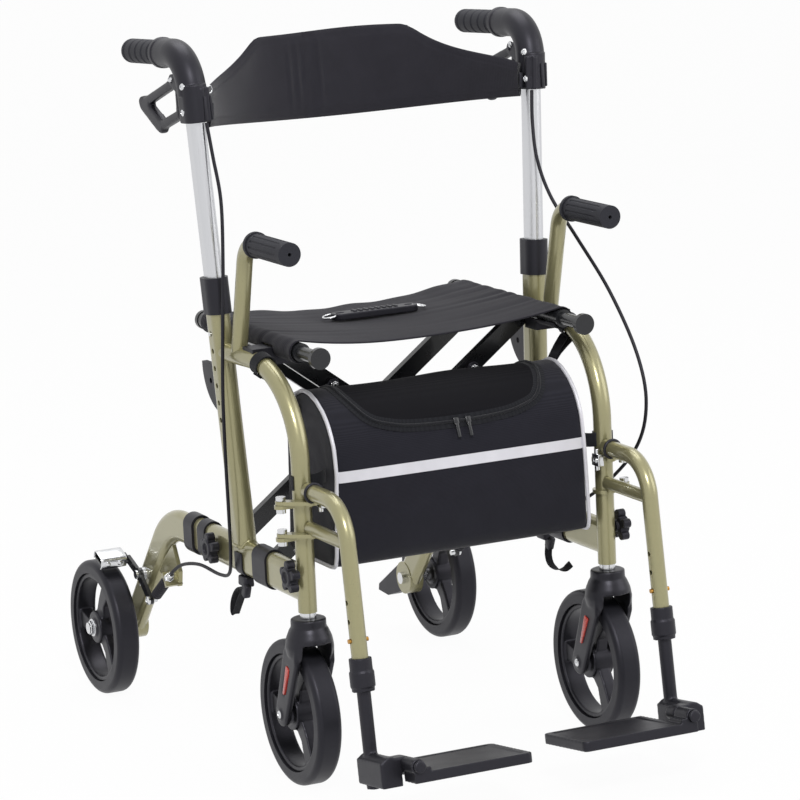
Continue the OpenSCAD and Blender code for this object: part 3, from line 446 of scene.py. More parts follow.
def trim_tape(shade):
    """Reflective tape: silver-grey glass beads with soft pale bands along it."""
    material, tree, shader = finish("Reflective_tape", {"Metallic": 0.15, "IOR": 1.5})
    coords = add(tree, "ShaderNodeTexCoord")
    stretch = add(tree, "ShaderNodeMapping", {"Scale": (1.0, 0.2, 0.2)}, {"Vector": (coords, "Object")})
    bands = mottled(tree, shader, (stretch, 0), shade, 0.02, 0.09)
    roughened(tree, shader, bands, 0.35, 0.5)
    beads = add(tree, "ShaderNodeTexVoronoi", {"Scale": 1 / 0.0012}, {"Vector": (coords, "Object")})
    raised(tree, shader, (beads, 0), 0.0001, 0.2)
    return material


def lens(shade):
    """Moulded acrylic reflector: clear red over small prisms."""
    material, tree, shader = finish("Red_acrylic_reflector", {"IOR": 1.49, "Coat Weight": 0.5,
                                                              "Coat Roughness": 0.05})
    place = (add(tree, "ShaderNodeTexCoord"), "Object")
    cloud = mottled(tree, shader, place, shade, 0.004, 0.2)
    roughened(tree, shader, cloud, 0.12, 0.25)
    prisms = add(tree, "ShaderNodeTexVoronoi", {"Scale": 1 / 0.0025}, {"Vector": place})
    raised(tree, shader, (prisms, 0), 0.0004, 0.6)
    return material


def make_materials(tints):
    """All finishes, by their short names."""
    return {
        "frame_paint": powder_coat(tints.paint),
        "silver_tube": anodised(tints.tube),
        "zinc": plated(linear("D6D7D9")),
        "dark_steel": enamel(tints.enamel),
        "black_plastic": moulded("Moulded_nylon", tints.plastic, 0.36, 0.5, 0.0009),
        "wheel_plastic": moulded("Moulded_polypropylene", linear("17171A"), 0.3, 0.44, 0.0012),
        "grip_rubber": rubber("Foam_rubber_grip", tints.rubber, 0.12, 0.0),
        "cable_black": rubber("PVC_cable_sheath", linear("17171A"), 0.08, 0.12),
        "tyre": rubber("Solid_tyre_rubber", tints.tyre, 0.2, 0.18),
        "seat_cloth": woven("Woven_seat_polyester", tints.seat, (0.52, 0.31), 0.0022, 0.0046, 0.12),
        "back_cloth": woven("Knitted_back_polyester", tints.back, (0.56, 0.30), 0.0018, 0.0018, 0.3),
        "bag_cloth": woven("Coated_bag_polyester", tints.bag, (0.38, 0.75), 0.0016, 0.0016, 0.2),
        "bag_mesh": woven("Spacer_mesh", linear("08080A"), (0.38, 0.75), 0.0034, 0.0034, 0.02),
        "brass": plated(tints.brass),
        "trim": trim_tape(tints.trim),
        "reflector": lens(tints.reflector),
        "webbing": woven("Polypropylene_webbing", linear("1D1E21"), (0.025, 0.3), 0.003, 0.003, 0.15),
    }


FINISHES = {}

# Camera: degrees round, up and over; where it faces and how far off, in metres; its lens in millimetres
CAMERA_TURN, CAMERA_RISE, CAMERA_ROLL = -25.469, 11.010, -2.644
CAMERA_AIM, CAMERA_AWAY, CAMERA_LENS = (0.012435, -0.040592, 0.474741), 5.1525, 166.43
# Lamps: name, place and size in metres, power in watts
LAMPS = (("Key", (-1.2, -3.4, 3.4), 1.0, 105), ("Fill", (3.2, -2.4, 2.2), 2.6, 40),
         ("Top", (0.2, 1.2, 3.8), 2.4, 52))
# Floor: its half width, the backdrop's height and the round between them, in metres
FLOOR_HALF, BACKDROP_HIGH, BACKDROP_ROUND = 8.0, 7, 2.5


class ROLLATOR_OT_stage(bpy.types.Operator):
    """Sets the camera, the lamps, the pale floor and the white surround"""
    bl_idname = "rollator.stage"
    bl_label = "Stage"

    def execute(self, context):
        scene = context.scene
        scene.view_settings.view_transform = "Standard"
        turn, rise, roll = (math.radians(d) for d in (CAMERA_TURN, CAMERA_RISE, CAMERA_ROLL))
        back = Vector((math.sin(turn) * math.cos(rise), -math.cos(turn) * math.cos(rise), math.sin(rise)))
        across = Vector((math.cos(turn), math.sin(turn), 0.0))
        up = back.cross(across)
        right = across * math.cos(roll) + up * math.sin(roll)
        top = up * math.cos(roll) - across * math.sin(roll)
        shot = bpy.data.cameras.new("Camera")
        shot.lens = CAMERA_LENS
        shot.sensor_width = 36.0
        shot.clip_end = 50.0
        camera = bpy.data.objects.new("Camera", shot)
        scene.collection.objects.link(camera)
        view = Matrix((right, top, back)).transposed().to_4x4()
        view.translation = Vector(CAMERA_AIM) + back * CAMERA_AWAY
        camera.matrix_world = view
        scene.camera = camera
        self.lamps(scene)
        self.floor(scene)
        return {"FINISHED"}

    def lamps(self, scene):
        """Three broad soft lamps."""
        for name, place, size, power in LAMPS:
            light = bpy.data.lights.new(name, "AREA")
            light.energy = power
            light.size = size
            lamp = bpy.data.objects.new(name, light)
            scene.collection.objects.link(lamp)
            lamp.location = place
            lamp.rotation_euler = (Vector((0, 0, 0.45)) - Vector(place)).to_track_quat("-Z", "Y").to_euler()

    def floor(self, scene):
        """A floor that runs up into a backdrop, and a white world."""
        deselect()
        bpy.ops.mesh.primitive_plane_add(size=2 * FLOOR_HALF, location=(0, 0, 0))
        floor = bpy.context.object
        rear = FLOOR_HALF - 0.1
        pick(floor, lambda e: all(v.co.y > rear for v in e.verts), "EDGE")
        bpy.ops.mesh.extrude_region_move(TRANSFORM_OT_translate={"value": (0, 0, BACKDROP_HIGH)})
        pick(floor, lambda e: all(v.co.y > rear and abs(v.co.z) < 0.01 for v in e.verts), "EDGE")
        bpy.ops.mesh.bevel(offset=BACKDROP_ROUND, segments=12)
        bpy.ops.object.mode_set(mode="OBJECT")
        take(floor)
        bpy.ops.object.shade_smooth()
        floor.name = "Studio_floor"
        paper = bpy.data.materials.new("Studio_paper")
        paper.use_nodes = True
        tree = paper.node_tree
        tree.nodes.clear()
        seen = self.seen(tree)
        matt = add(tree, "ShaderNodeBsdfDiffuse", {"Color": linear("F4F4F4")})
        glow = add(tree, "ShaderNodeEmission", {"Color": (1, 1, 1, 1), "Strength": 1.0})
        share = add(tree, "ShaderNodeMath", {"operation": "MULTIPLY", 1: 0.965}, {0: (seen, 0)})
        mixed = add(tree, "ShaderNodeMixShader", {}, {0: (share, 0), 1: (matt, 0), 2: (glow, 0)})
        add(tree, "ShaderNodeOutputMaterial", {}, {"Surface": (mixed, 0)})
        floor.data.materials.append(paper)
        world = bpy.data.worlds.new("Studio")
        world.use_nodes = True
        tree = world.node_tree
        tree.nodes.clear()
        seen = self.seen(tree)
        soft = add(tree, "ShaderNodeBackground", {"Color": (1, 1, 1, 1), "Strength": 0.36})
        white = add(tree, "ShaderNodeBackground", {"Color": (1, 1, 1, 1), "Strength": 1.0})
        mixed = add(tree, "ShaderNodeMixShader", {}, {0: (seen, 0), 1: (soft, 0), 2: (white, 0)})
        add(tree, "ShaderNodeOutputWorld", {}, {"Surface": (mixed, 0)})
        scene.world = world

    def seen(self, tree):
        """1 for rays of the camera, of gloss and of glass."""
        path = add(tree, "ShaderNodeLightPath")
        gloss = add(tree, "ShaderNodeMath", {"operation": "MAXIMUM"},
                    {0: (path, "Is Camera Ray"), 1: (path, "Is Glossy Ray")})
        return add(tree, "ShaderNodeMath", {"operation": "MAXIMUM"},
                   {0: (gloss, 0), 1: (path, "Is Transmission Ray")})


class ROLLATOR_OT_finishes(bpy.types.Operator):
    """Gives every solid its finish"""
    bl_idname = "rollator.finishes"
    bl_label = "Finishes"

    def execute(self, context):
        FINISHES.update(make_materials(context.scene.chair_colours))
        for name, obj in frame["nodes"].items():
            obj.data.materials.clear()
            obj.data.materials.append(FINISHES[SLOT_OF[name]])
        return {"FINISHED"}


# Brake cables, along the same points as their solids

LEFT_ROUTE = ((-248, -22, 885.5), (-244, -28, 840), (-240, -38, 780), (-246, -48, 700), (-256, -58, 610),
              (-262, -60, 520), (-262, -57, 430), (-258, -48, 350), (-251, -30, 290), (-243, -2, 256),
              (-240, 40, 246), (-240, 110, 246), (-243, 165, 236), (-246, 198, 220), (-246, 219.6, 204.7))
RIGHT_ROUTE = ((248, -22, 885.5), (243, -30, 840), (242, -42, 790), (252, -60, 738), (272, -92, 684),
               (294, -144, 610), (301, -203, 530), (301, -225, 462), (295, -202, 396), (274, -134, 330),
               (253, -50, 282), (243, 0, 256), (240, 40, 246), (240, 110, 246), (243, 165, 236),
               (246, 198, 220), (246, 219.6, 204.7))
BARREL = Vector((0.0, 0.222, 0.203))
ARM_END = Vector((0.0, 0.284, 0.160))
BRAKE_X = 0.246
# Boot: steps, three to a rib; narrow radius; how much a rib swells; how much shorter it is than its gap
BOOT_STEPS, BOOT_R, BOOT_SWELL, BOOT_SHORT = 27, 0.0058, 1.4, 0.021


class ROLLATOR_OT_cables(bpy.types.Operator):
    """Lays the two brake cables and the ribbed boots on their lower ends"""
    bl_idname = "rollator.cables"
    bl_label = "Brake cables"

    def execute(self, context):
        sizes = context.scene.chair_sizes
        for (side, s), route in zip(SIDES, (LEFT_ROUTE, RIGHT_ROUTE)):
            path = curve_through([Vector(p) / 1000 for p in route], 8)
            cable = tube(path, sizes.cable)
            dressed(cable, side + "_brake_cable", None, "cable_black", FINISHES["cable_black"])
            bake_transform(cable)
            boot = self.boot(s)
            dressed(boot, side + "_cable_boot", side + "_frame", "cable_black", FINISHES["cable_black"], 50)
            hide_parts(side + "_cable")
            run_of(path)
        return {"FINISHED"}

    def boot(self, s):
        """A bellows: rings of one wall, wide and narrow in turn, extruded down the cable."""
        way = (ARM_END - BARREL).normalized()
        reach = (ARM_END - BARREL).length - BOOT_SHORT
        deselect()
        bpy.ops.mesh.primitive_circle_add(vertices=20, radius=BOOT_R, fill_type="NGON")
        boot = bpy.context.object
        bpy.ops.object.mode_set(mode="EDIT")
        bpy.ops.mesh.select_mode(type="FACE")
        bpy.ops.mesh.select_all(action="SELECT")
        step = reach / BOOT_STEPS
        for i in range(BOOT_STEPS):
            bpy.ops.mesh.extrude_region_move(TRANSFORM_OT_translate={"value": (0, 0, step)})
            wide = (BOOT_SWELL, 1.0, 1 / BOOT_SWELL)[i % 3]
            bpy.ops.transform.resize(value=(wide, wide, 1.0))
        bpy.ops.object.mode_set(mode="OBJECT")
        boot.matrix_world = Matrix.Translation(Vector((s * BRAKE_X, 0, 0)) + BARREL + way * 0.003) @ \
            way.to_track_quat("Z", "X").to_matrix().to_4x4()
        return clean(boot)


# Seat cloth

SEAT_X, SEAT_Z, SEAT_SAG = 0.198, 0.588, 0.016
SLEEVE_R = 0.0146
SEAT_FRONT, SEAT_REAR = -0.182, 0.124
SADDLE = (-0.125, -0.087)
BRACE_WINDOW = (-0.088, 0.088)


class ROLLATOR_OT_seat(bpy.types.Operator):
    """Sews the seat cloth round its two rails, with a hollow front edge"""
    bl_idname = "rollator.seat"
    bl_label = "Seat cloth"

    def execute(self, context):
        sizes = context.scene.chair_sizes
        leave = math.atan2(2 * SEAT_SAG, SEAT_X)
        first, last = math.radians(335), math.pi / 2 - leave
        wrap = (first - last) * SLEEVE_R
        span = 2 * (SEAT_X - SLEEVE_R * math.sin(leave))
        whole = 2 * wrap + span
        rows = self.rows()

        def place(u, v):
            run = u * whole
            y = rows[round(v * (len(rows) - 1))]
            side = -1 if u < 0.5 else 1
            if min(run, whole - run) < wrap:
                angle = first - min(run, whole - run) / SLEEVE_R
                x = side * (SEAT_X - SLEEVE_R * math.cos(angle))
                return self.worn(x, y, SEAT_Z + SLEEVE_R * math.sin(angle), side, angle)
            x = run - wrap - span / 2
            z = SEAT_Z + SLEEVE_R - SEAT_SAG * (1 - (x / SEAT_X) ** 2)
            return self.worn(x, y, z, 0, 0)

        cloth = grid(150, len(rows) - 1, place)
        self.windows(cloth)
        applied(cloth, "SOLIDIFY", thickness=sizes.seat_thick, offset=0.0)
        clean(cloth)
        applied(cloth, "SUBSURF", levels=1, render_levels=1)
        dressed(cloth, "seat_cloth", None, "seat_cloth", FINISHES["seat_cloth"], 60)
        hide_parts("seat_sling")
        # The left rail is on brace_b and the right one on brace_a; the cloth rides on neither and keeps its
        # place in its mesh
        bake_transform(cloth)
        return {"FINISHED"}

    def rows(self):
        """Rows across the cloth, with one at every edge of a window."""
        stops = (SEAT_FRONT, SEAT_FRONT + 0.006, SEAT_FRONT + 0.012, SADDLE[0], SADDLE[1], BRACE_WINDOW[1],
                 SEAT_REAR - 0.012, SEAT_REAR - 0.006, SEAT_REAR)
        rows = [stops[0]]
        for a, b in zip(stops, stops[1:]):
            count = max(1, round((b - a) / 0.005))
            rows += [a + (b - a) * (k + 1) / count for k in range(count)]
        return rows

    def worn(self, x, y, z, side, angle):
        """The hollow front edge, the sagging rear edge and the pulls near the rails."""
        along = (y - SEAT_FRONT) / (SEAT_REAR - SEAT_FRONT)
        inside = max(0.0, 1 - (x / SEAT_X) ** 2)
        y += 0.024 * inside * (1 - along) ** 2
        near_rail = math.exp(-(SEAT_X - abs(x)) / 0.085) if side == 0 else 1.0
        pull = math.sin(y / 0.0075 + 2.0 * math.sin(y / 0.031)) + 0.6 * math.sin(y / 0.0042 + 1.0)
        fold = sum(bump_at(y + 0.03 * x, m, 0.0045) for m in (-0.092, -0.031, -0.006, 0.038, 0.071))
        depth = (0.0004 * pull - 0.0010 * fold) * near_rail
        if side:
            return Vector((x + side * depth * abs(math.cos(angle)), y, z + depth * max(0.0, math.sin(angle))))
        front, rear = (1 - along) ** 4, along ** 5
        z -= 0.005 * inside * front
        z += 0.0016 * rear * inside * math.sin(x / 0.024 + 0.8) + 0.0007 * rear * math.sin(x / 0.011)
        z += 0.0008 * math.sin(x / 0.05 + y / 0.03) * inside
        return Vector((x, y, z + depth))

    def windows(self, cloth):
        """Opens the sleeves over the saddles and where the brace bars meet the rails."""
        def open_here(face):
            spot = face.calc_center_median()
            if abs(spot.x) < SEAT_X - 0.0155:
                return False
            saddle = SADDLE[0] < spot.y < SADDLE[1] and spot.z < SEAT_Z + 0.0025
            brace = BRACE_WINDOW[0] < spot.y < BRACE_WINDOW[1] and spot.z < SEAT_Z - 0.006
            return saddle or brace

        pick(cloth, open_here)
        bpy.ops.mesh.delete(type="FACE")
        bpy.ops.object.mode_set(mode="OBJECT")


# Backrest

BACK_HALF, BACK_BOW, BACK_Y, BACK_Z = 0.2381, 0.135, -0.0051, 0.9226
BACK_R = (BACK_HALF ** 2 + BACK_BOW ** 2) / (2 * BACK_BOW)
# Across the lap: where the left half starts to thin and is thin, where the right half begins, where the flap
# ends, and where its recess starts to fill and is full
BACK_TAPER, BACK_THIN, BACK_UNDER = -0.075, -0.060, -0.048
BACK_FLAP, BACK_GROOVE, BACK_FLUSH = -0.036, -0.024, -0.010
FLAP_THICK, FLAP_ROOM = 0.0022, 0.0028
BACK_CREASES = (-0.060, -0.046, -0.033, -0.021, -0.009)


def ease(t):
    """From 0 to 1, slow at both ends."""
    t = max(0.0, min(1.0, t))
    return t * t * (3 - 2 * t)


class ROLLATOR_OT_backrest(bpy.types.Operator):
    """Shapes the padded backrest band: two halves, lapped so that it shortens as the handles come down"""
    bl_idname = "rollator.backrest"
    bl_label = "Backrest"

    def execute(self, context):
        for side, s in SIDES:
            pad = self.half(s, context.scene.chair_sizes)
            dressed(pad, side + "_backrest_pad", side + "_handle", "back_cloth", FINISHES["back_cloth"], 60)
            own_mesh(pad)
            if s < 0:
                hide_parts("backrest")
        return {"FINISHED"}

    def half(self, s, sizes):
        """The left half (s below 0) ends in a thin flap, which lies in a shallow recess of the right one."""
        first, last = (-BACK_HALF, BACK_FLAP) if s < 0 else (BACK_UNDER, BACK_HALF)
        columns, rows = round((last - first) / 0.0019), 76

        def place(u, v):
            front = v <= 0.5
            w = 2 * v if front else 2 * (1 - v)
            return self.point(s, first + (last - first) * u, w, 1 if front else -1, sizes)

        pad = grid(columns, rows, place)
        # The knit keeps its size: each half takes its share of the whole band's map
        for corner in pad.data.uv_layers.active.data:
            corner.uv.x = (first + (last - first) * corner.uv.x + BACK_HALF) / (2 * BACK_HALF)
        clean(pad, merge=0.00002)
        capped(pad)
        return clean(pad, merge=0.00002)

    def point(self, s, x, w, side, sizes):
        """One point of half s: w from its lower to its upper hem, side 1 at the front."""
        # The lower hem dips in the middle; the upper one rises in a slanting shoulder to a level crown
        a = abs(x) / BACK_HALF
        low = BACK_Z - 0.064 + 0.018 * a * a
        rest = max(0.0, min(1.0, 2 - 2 * a))
        high = BACK_Z + 0.001 + 0.026 * rest ** 0.6 + 0.032 * rest ** 3
        if rest >= 1:
            high += 0.0012 * math.sin(x / 0.04)
        high -= 0.0022 * bump_at(a, 0.5, 0.025)
        z = low + (high - low) * w
        edge = min(w, 1 - w) * (high - low)
        fill = ease(edge / 0.014)
        thick = sizes.back_hem + (sizes.back_thick - sizes.back_hem) * fill
        thick *= math.sqrt(max(0.0, min(1.0, edge / 0.0015)))
        # The hem is sewn 10 mm from the edge
        thick -= 0.0016 * bump_at(edge, 0.010, 0.0016)
        lean = x + 0.06 * (z - BACK_Z)
        crease = sum(math.cos((lean - m) / 0.0032) * bump_at(lean, m, 0.005) for m in BACK_CREASES)
        crease *= fill * math.sin(math.pi * min(1.0, max(0.0, w * 1.1 - 0.05)))
        wave = 0.0030 * math.sin(x / 0.062) * (w - 0.4) + 0.0015 * math.sin(x / 0.021) * w * w * fill
        y = BACK_Y + BACK_BOW - BACK_R + math.sqrt(BACK_R ** 2 - x * x)
        out = Vector((x, y - (BACK_Y + BACK_BOW - BACK_R), 0)).normalized()
        front, back = wave - thick / 2 - 0.0013 * crease, wave + thick / 2 + 0.0004 * crease
        if s < 0:
            flap = ease((x - BACK_TAPER) / (BACK_THIN - BACK_TAPER))
            back -= flap * (back - (wave - thick / 2) - min(FLAP_THICK, 0.42 * thick))
        else:
            recess = 1 - ease((x - BACK_GROOVE) / (BACK_FLUSH - BACK_GROOVE))
            front += recess * (wave - thick / 2 + min(FLAP_ROOM, 0.5 * thick) - front)
        return Vector((x, y, z)) + out * (front if side > 0 else back)


# Bag

BAG_X, BAG_FRONT, BAG_BACK, BAG_LOW, BAG_TOP, BAG_R = 0.190, -0.252, -0.094, 0.302, 0.535, 0.095


def bag_line(count):
    """The bag's side outline as (y, z), from the front lower corner over the top to the back."""
    round_low = 0.014
    line = [(BAG_FRONT + round_low * (1 - math.sin(t)), BAG_LOW + round_low * (1 - math.cos(t)))
            for t in (0.0, math.pi / 6, math.pi / 3, math.pi / 2)]
    for k in range(13):
        t = math.pi - math.pi / 2 * k / 12
        line.append((BAG_FRONT + BAG_R + BAG_R * math.cos(t), BAG_TOP - BAG_R + BAG_R * math.sin(t)))
    line += [(BAG_BACK - 0.012, BAG_TOP - 0.020), (BAG_BACK - 0.002, BAG_TOP - 0.028),
             (BAG_BACK, BAG_TOP - 0.040), (BAG_BACK, BAG_LOW + 0.014),
             (BAG_BACK - 0.005, BAG_LOW + 0.004), (BAG_BACK - 0.014, BAG_LOW), line[0]]
    places = [Vector((0, y, z)) for y, z in line]
    total = run_of(places)
    even, i, gone = [], 0, 0.0
    for k in range(count):
        want = total * k / count
        while gone + (places[i + 1] - places[i]).length < want:
            gone += (places[i + 1] - places[i]).length
            i += 1
        part = (want - gone) / max(1e-9, (places[i + 1] - places[i]).length)
        even.append(places[i].lerp(places[i + 1], part))
    return even


def puffed(obj, voxel, pressure, cap, held):
    """Blows a closed shell up a little as cloth; points that held() keeps stay put."""
    applied(obj, "REMESH", mode="VOXEL", voxel_size=voxel)
    rest = [point.co.copy() for point in obj.data.vertices]
    group = obj.vertex_groups.new(name="Seams")
    for point in obj.data.vertices:
        group.add([point.index], held(point.co), "REPLACE")
    take(obj)
    cloth = obj.modifiers.new("Cloth", "CLOTH")
    cloth.settings.quality = 6
    cloth.settings.mass = 0.3
    cloth.settings.use_pressure = True
    cloth.settings.uniform_pressure_force = pressure
    cloth.settings.vertex_group_mass = "Seams"
    cloth.settings.effector_weights.gravity = 0.0
    for step in range(1, 21):
        bpy.context.scene.frame_set(step)
    bpy.ops.object.modifier_apply(modifier="Cloth")
    bpy.context.scene.frame_set(1)
    for point, start in zip(obj.data.vertices, rest):
        move = point.co - start
        if move.length > cap:
            point.co = start + move.normalized() * cap
    obj.vertex_groups.clear()
    return obj


class ROLLATOR_OT_bag(bpy.types.Operator):
    """Sews the bag: a soft shell with piping, a strip and a zipped lid"""
    bl_idname = "rollator.bag"
    bl_label = "Bag"

    def execute(self, context):
        sizes = context.scene.chair_sizes
        shell = self.shell()
        trims = [self.piping(shell, s, sizes) for s in (-1, 1)] + [self.strip(shell, sizes)]
        zips = self.zip(shell, sizes)
        lid = self.lid(shell)
        dressed(shell, "bag_shell", "left_frame", "bag_cloth", FINISHES["bag_cloth"], 60)
        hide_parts("bag")
        for name, piece in zip(("bag_piping_left", "bag_piping_right", "bag_strip"), trims):
            dressed(piece, name, "left_frame", "zinc", FINISHES["trim"], 60)
        for name, piece in zips:
            look = "dark_steel" if "pulls" in name else "webbing"
            dressed(piece, name, "left_frame", "bag_cloth", FINISHES[look], 50)
        dressed(lid, "bag_lid_mesh", "left_frame", "bag_cloth", FINISHES["bag_mesh"], 60)
        for piece in [shell, lid] + trims + [piece for _, piece in zips]:
            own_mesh(piece)
        return {"FINISHED"}

    def shell(self):
        """The sewn shell, swollen a little between its seams."""
        line = bag_line(90)

        def place(u, v):
            # The top sags in waves towards the back, and the lower part flares out a little
            spot = line[round(v * 90) % 90]
            x = (2 * u - 1) * (BAG_X - 0.003)
            rear = max(0.0, (spot.z - BAG_TOP + 0.06) / 0.06) * max(0.0, (spot.y - BAG_FRONT - 0.07) / 0.09)
            lift = 0.006 * rear * (math.sin(x / 0.035 + 0.6) - 0.6)
            flare = 1 + 0.030 * max(0.0, min(1.0, (0.44 - spot.z) / 0.14))
            return Vector((x * flare, spot.y, spot.z + lift - 0.003 * (spot.z > BAG_TOP - 0.1)))

        shell = grid(60, 90, place)
        clean(shell, merge=0.0001)
        capped(shell)
        clean(shell, merge=0.0001)
        puffed(shell, voxel=0.006, pressure=4.0, cap=0.007,
               held=lambda p: 1.0 if abs(p.x) > BAG_X - 0.010 and self.on_rim(p) else 0.0)
        applied(shell, "SMOOTH", factor=0.5, iterations=3)
        applied(shell, "SUBSURF", levels=1, render_levels=1)
        return self.mapped(shell)

    def on_rim(self, p):
        """True near the seams of the two side panels."""
        inner = BAG_FRONT + 0.012 < p.y < BAG_BACK - 0.012 and BAG_LOW + 0.012 < p.z < BAG_TOP - 0.030
        return not inner

    def mapped(self, shell):
        """A flat map that runs across the bag and over its front and top."""
        flat = shell.data.uv_layers.new(name="UVMap")
        for loop in shell.data.loops:
            p = shell.data.vertices[loop.vertex_index].co
            over = p.z - p.y
            flat.data[loop.index].uv = ((p.x + BAG_X) / (2 * BAG_X), over / 0.75)
        return shell

    def piping(self, shell, s, sizes):
        """Round piping in the seam of one side panel."""
        path = []
        line = bag_line(120)
        middle = Vector((0, -0.165, 0.42))
        # Along the bottom, the front and the top, but not the back
        for spot in line[99:] + line[:66]:
            out = spot - middle
            flare = 0.0055 * max(0.0, min(1.0, (0.44 - spot.z) / 0.14))
            edge = Vector((s * (BAG_X - 0.008 + flare), 0, 0)) + middle
            place, normal = skin_at(shell, edge + out * 1.6, -out.normalized())
            path.append(place + Vector((s * 0.004, 0, 0)) + normal * 0.0004)
        return tube(path, sizes.piping, sides=2)

    def strip(self, shell, sizes):
        """The reflective strip across the front."""
        points, normals = [], []
        half = BAG_X - 0.004
        for k in range(61):
            x = -half + 2 * half * k / 60
            place, normal = skin_at(shell, Vector((x, -0.6, 0.427)), Vector((0, 1, 0)))
            points.append(place + normal * 0.0006)
            normals.append(normal)
        return ribbon(points, normals, sizes.strip, 0.0008)

    def zip(self, shell, sizes):
        """The zip round three sides of the lid, its teeth and its two pulls."""
        half = [(-0.150, -0.112), (-0.150, -0.160), (-0.147, -0.200), (-0.130, -0.230), (-0.095, -0.240),
                (-0.04, -0.243)]
        flat = half + [(-x, y) for x, y in reversed(half)]
        rough = curve_through([(x, y, 0) for x, y in flat], 10)
        points, normals = [], []
        for spot in rough:
            place, normal = self.on_lid(shell, spot.x, spot.y)
            points.append(place + normal * 0.0006)
            normals.append(normal)
        tape = ribbon(points, normals, sizes.zip_tape, 0.0010)
        ridge = [p + n * 0.0010 for p, n in zip(points, normals)]
        teeth = tube(ridge, 0.0046, sides=2)
        pulls = [self.pull(shell, x) for x in (-0.003, 0.015)]
        return [("bag_zip_tape", tape), ("bag_zip_teeth", teeth), ("bag_zip_pulls", joined(pulls))]

    def lid(self, shell):
        """The open mesh inside the zip, a thin layer on the shell."""
        panel = copy_of(shell)

        def beyond(face):
            spot = face.calc_center_median()
            ahead = max(0.0, (-0.165 - spot.y) / 0.079)
            return spot.z < 0.45 or spot.y > -0.112 or (abs(spot.x) / 0.150) ** 5 + ahead ** 5 > 1

        pick(panel, beyond)
        bpy.ops.mesh.delete(type="FACE")
        bpy.ops.object.mode_set(mode="OBJECT")
        applied(panel, "SOLIDIFY", thickness=0.0008, offset=1.0)
        return clean(panel, outward=False)

    def on_lid(self, shell, x, y):
        """The cloth over one place of the rounded top, met square to the round."""
        ahead = min(0.0, y - BAG_FRONT - BAG_R)
        out = Vector((0, ahead, math.sqrt(BAG_R ** 2 - ahead ** 2))).normalized()
        axis = Vector((x, max(y, BAG_FRONT + BAG_R), BAG_TOP - BAG_R))
        return skin_at(shell, axis + out * 0.3, -out)

    def pull(self, shell, x):
        """A slider with its tongue hanging down the front."""
        place, normal = self.on_lid(shell, x, -0.2435)
        slider = placed(block((0.0085, 0.0100, 0.0046), 0.0012), place + normal * 0.0030, normal)
        down = (Vector((0, 0, -1)) + normal * normal.z).normalized()
        hang = place + normal * 0.0046 + down * 0.0125
        tongue = placed(block((0.0050, 0.0210, 0.0016), 0.0006), hang, normal)
        return joined([slider, tongue])


# Shapes that several pieces share

def placed(obj, place, normal):
    """Stands a shape made along Z at a place, along a normal."""
    lean = Vector(normal).to_track_quat("Z", "Y").to_matrix().to_4x4()
    obj.matrix_world = Matrix.Translation(place) @ lean
    return settled(obj)


def mirrored(obj):
    """A copy on the other side of the chair."""
    twin = copy_of(obj)
    twin.scale = (-1, 1, 1)
    return clean(settled(twin), merge=0.000001)


def both(piece, name, body, slot, finish_name, smooth=40):
    """Finishes a left piece and its mirror image."""
    twin = mirrored(piece)
    for side, obj in (("left_", piece), ("right_", twin)):
        dressed(obj, side + name, side + body, slot, FINISHES[finish_name], smooth)


def screw(radius, high):
    """A domed screw head with a round socket, along Z."""
    deselect()
    bpy.ops.mesh.primitive_cylinder_add(vertices=24, radius=radius, depth=high * 0.6)
    head = bpy.context.object
    pick(head, lambda f: f.normal.z > 0.9)
    for share, lift in ((0.16, 0.26), (0.2, 0.16), (0.2, 0.06)):
        bpy.ops.mesh.inset(thickness=radius * share)
        bpy.ops.transform.translate(value=(0, 0, high * lift))
    bpy.ops.mesh.inset(thickness=radius * 0.06)
    bpy.ops.transform.translate(value=(0, 0, -high * 0.35))
    bpy.ops.object.mode_set(mode="OBJECT")
    return clean(head)


def nut(across, high, bolt):
    """A hex nut with chamfered corners and the end of its bolt, along Z."""
    deselect()
    bpy.ops.mesh.primitive_cylinder_add(vertices=6, radius=across / math.sqrt(3), depth=high)
    body = bpy.context.object
    pick(body, lambda f: f.normal.z > 0.9)
    bpy.ops.mesh.inset(thickness=across * 0.07)
    bpy.ops.transform.translate(value=(0, 0, high * 0.14))
    bpy.ops.mesh.inset(thickness=across * 0.16)
    bpy.ops.mesh.extrude_region_move(TRANSFORM_OT_translate={"value": (0, 0, bolt)})
    bpy.ops.mesh.inset(thickness=across * 0.05)
    bpy.ops.transform.translate(value=(0, 0, bolt * 0.3))
    bpy.ops.object.mode_set(mode="OBJECT")
    applied(body, "BEVEL", width=across * 0.03, segments=2, limit_method="ANGLE")
    return clean(body)


def peg(radius, long, edge):
    """A round pin with rounded ends, along Z."""
    deselect()
    bpy.ops.mesh.primitive_cylinder_add(vertices=32, radius=radius, depth=long)
    pin = bpy.context.object
    pick(pin, lambda f: abs(f.normal.z) > 0.9)
    bpy.ops.mesh.inset(thickness=radius * 0.3, use_individual=True)
    bpy.ops.object.mode_set(mode="OBJECT")
    applied(pin, "BEVEL", width=edge, segments=3, limit_method="ANGLE")
    return clean(pin)


def block(size, edge):
    """A moulded block with rounded edges."""
    deselect()
    bpy.ops.mesh.primitive_cube_add(size=1.0)
    body = bpy.context.object
    bpy.ops.transform.resize(value=size)
    settled(body)
    pick(body, lambda f: f.normal.z > 0.9)
    bpy.ops.transform.resize(value=(0.94, 0.94, 1.0))
    bpy.ops.object.mode_set(mode="OBJECT")
    applied(body, "BEVEL", width=edge, segments=3)
    return clean(body)


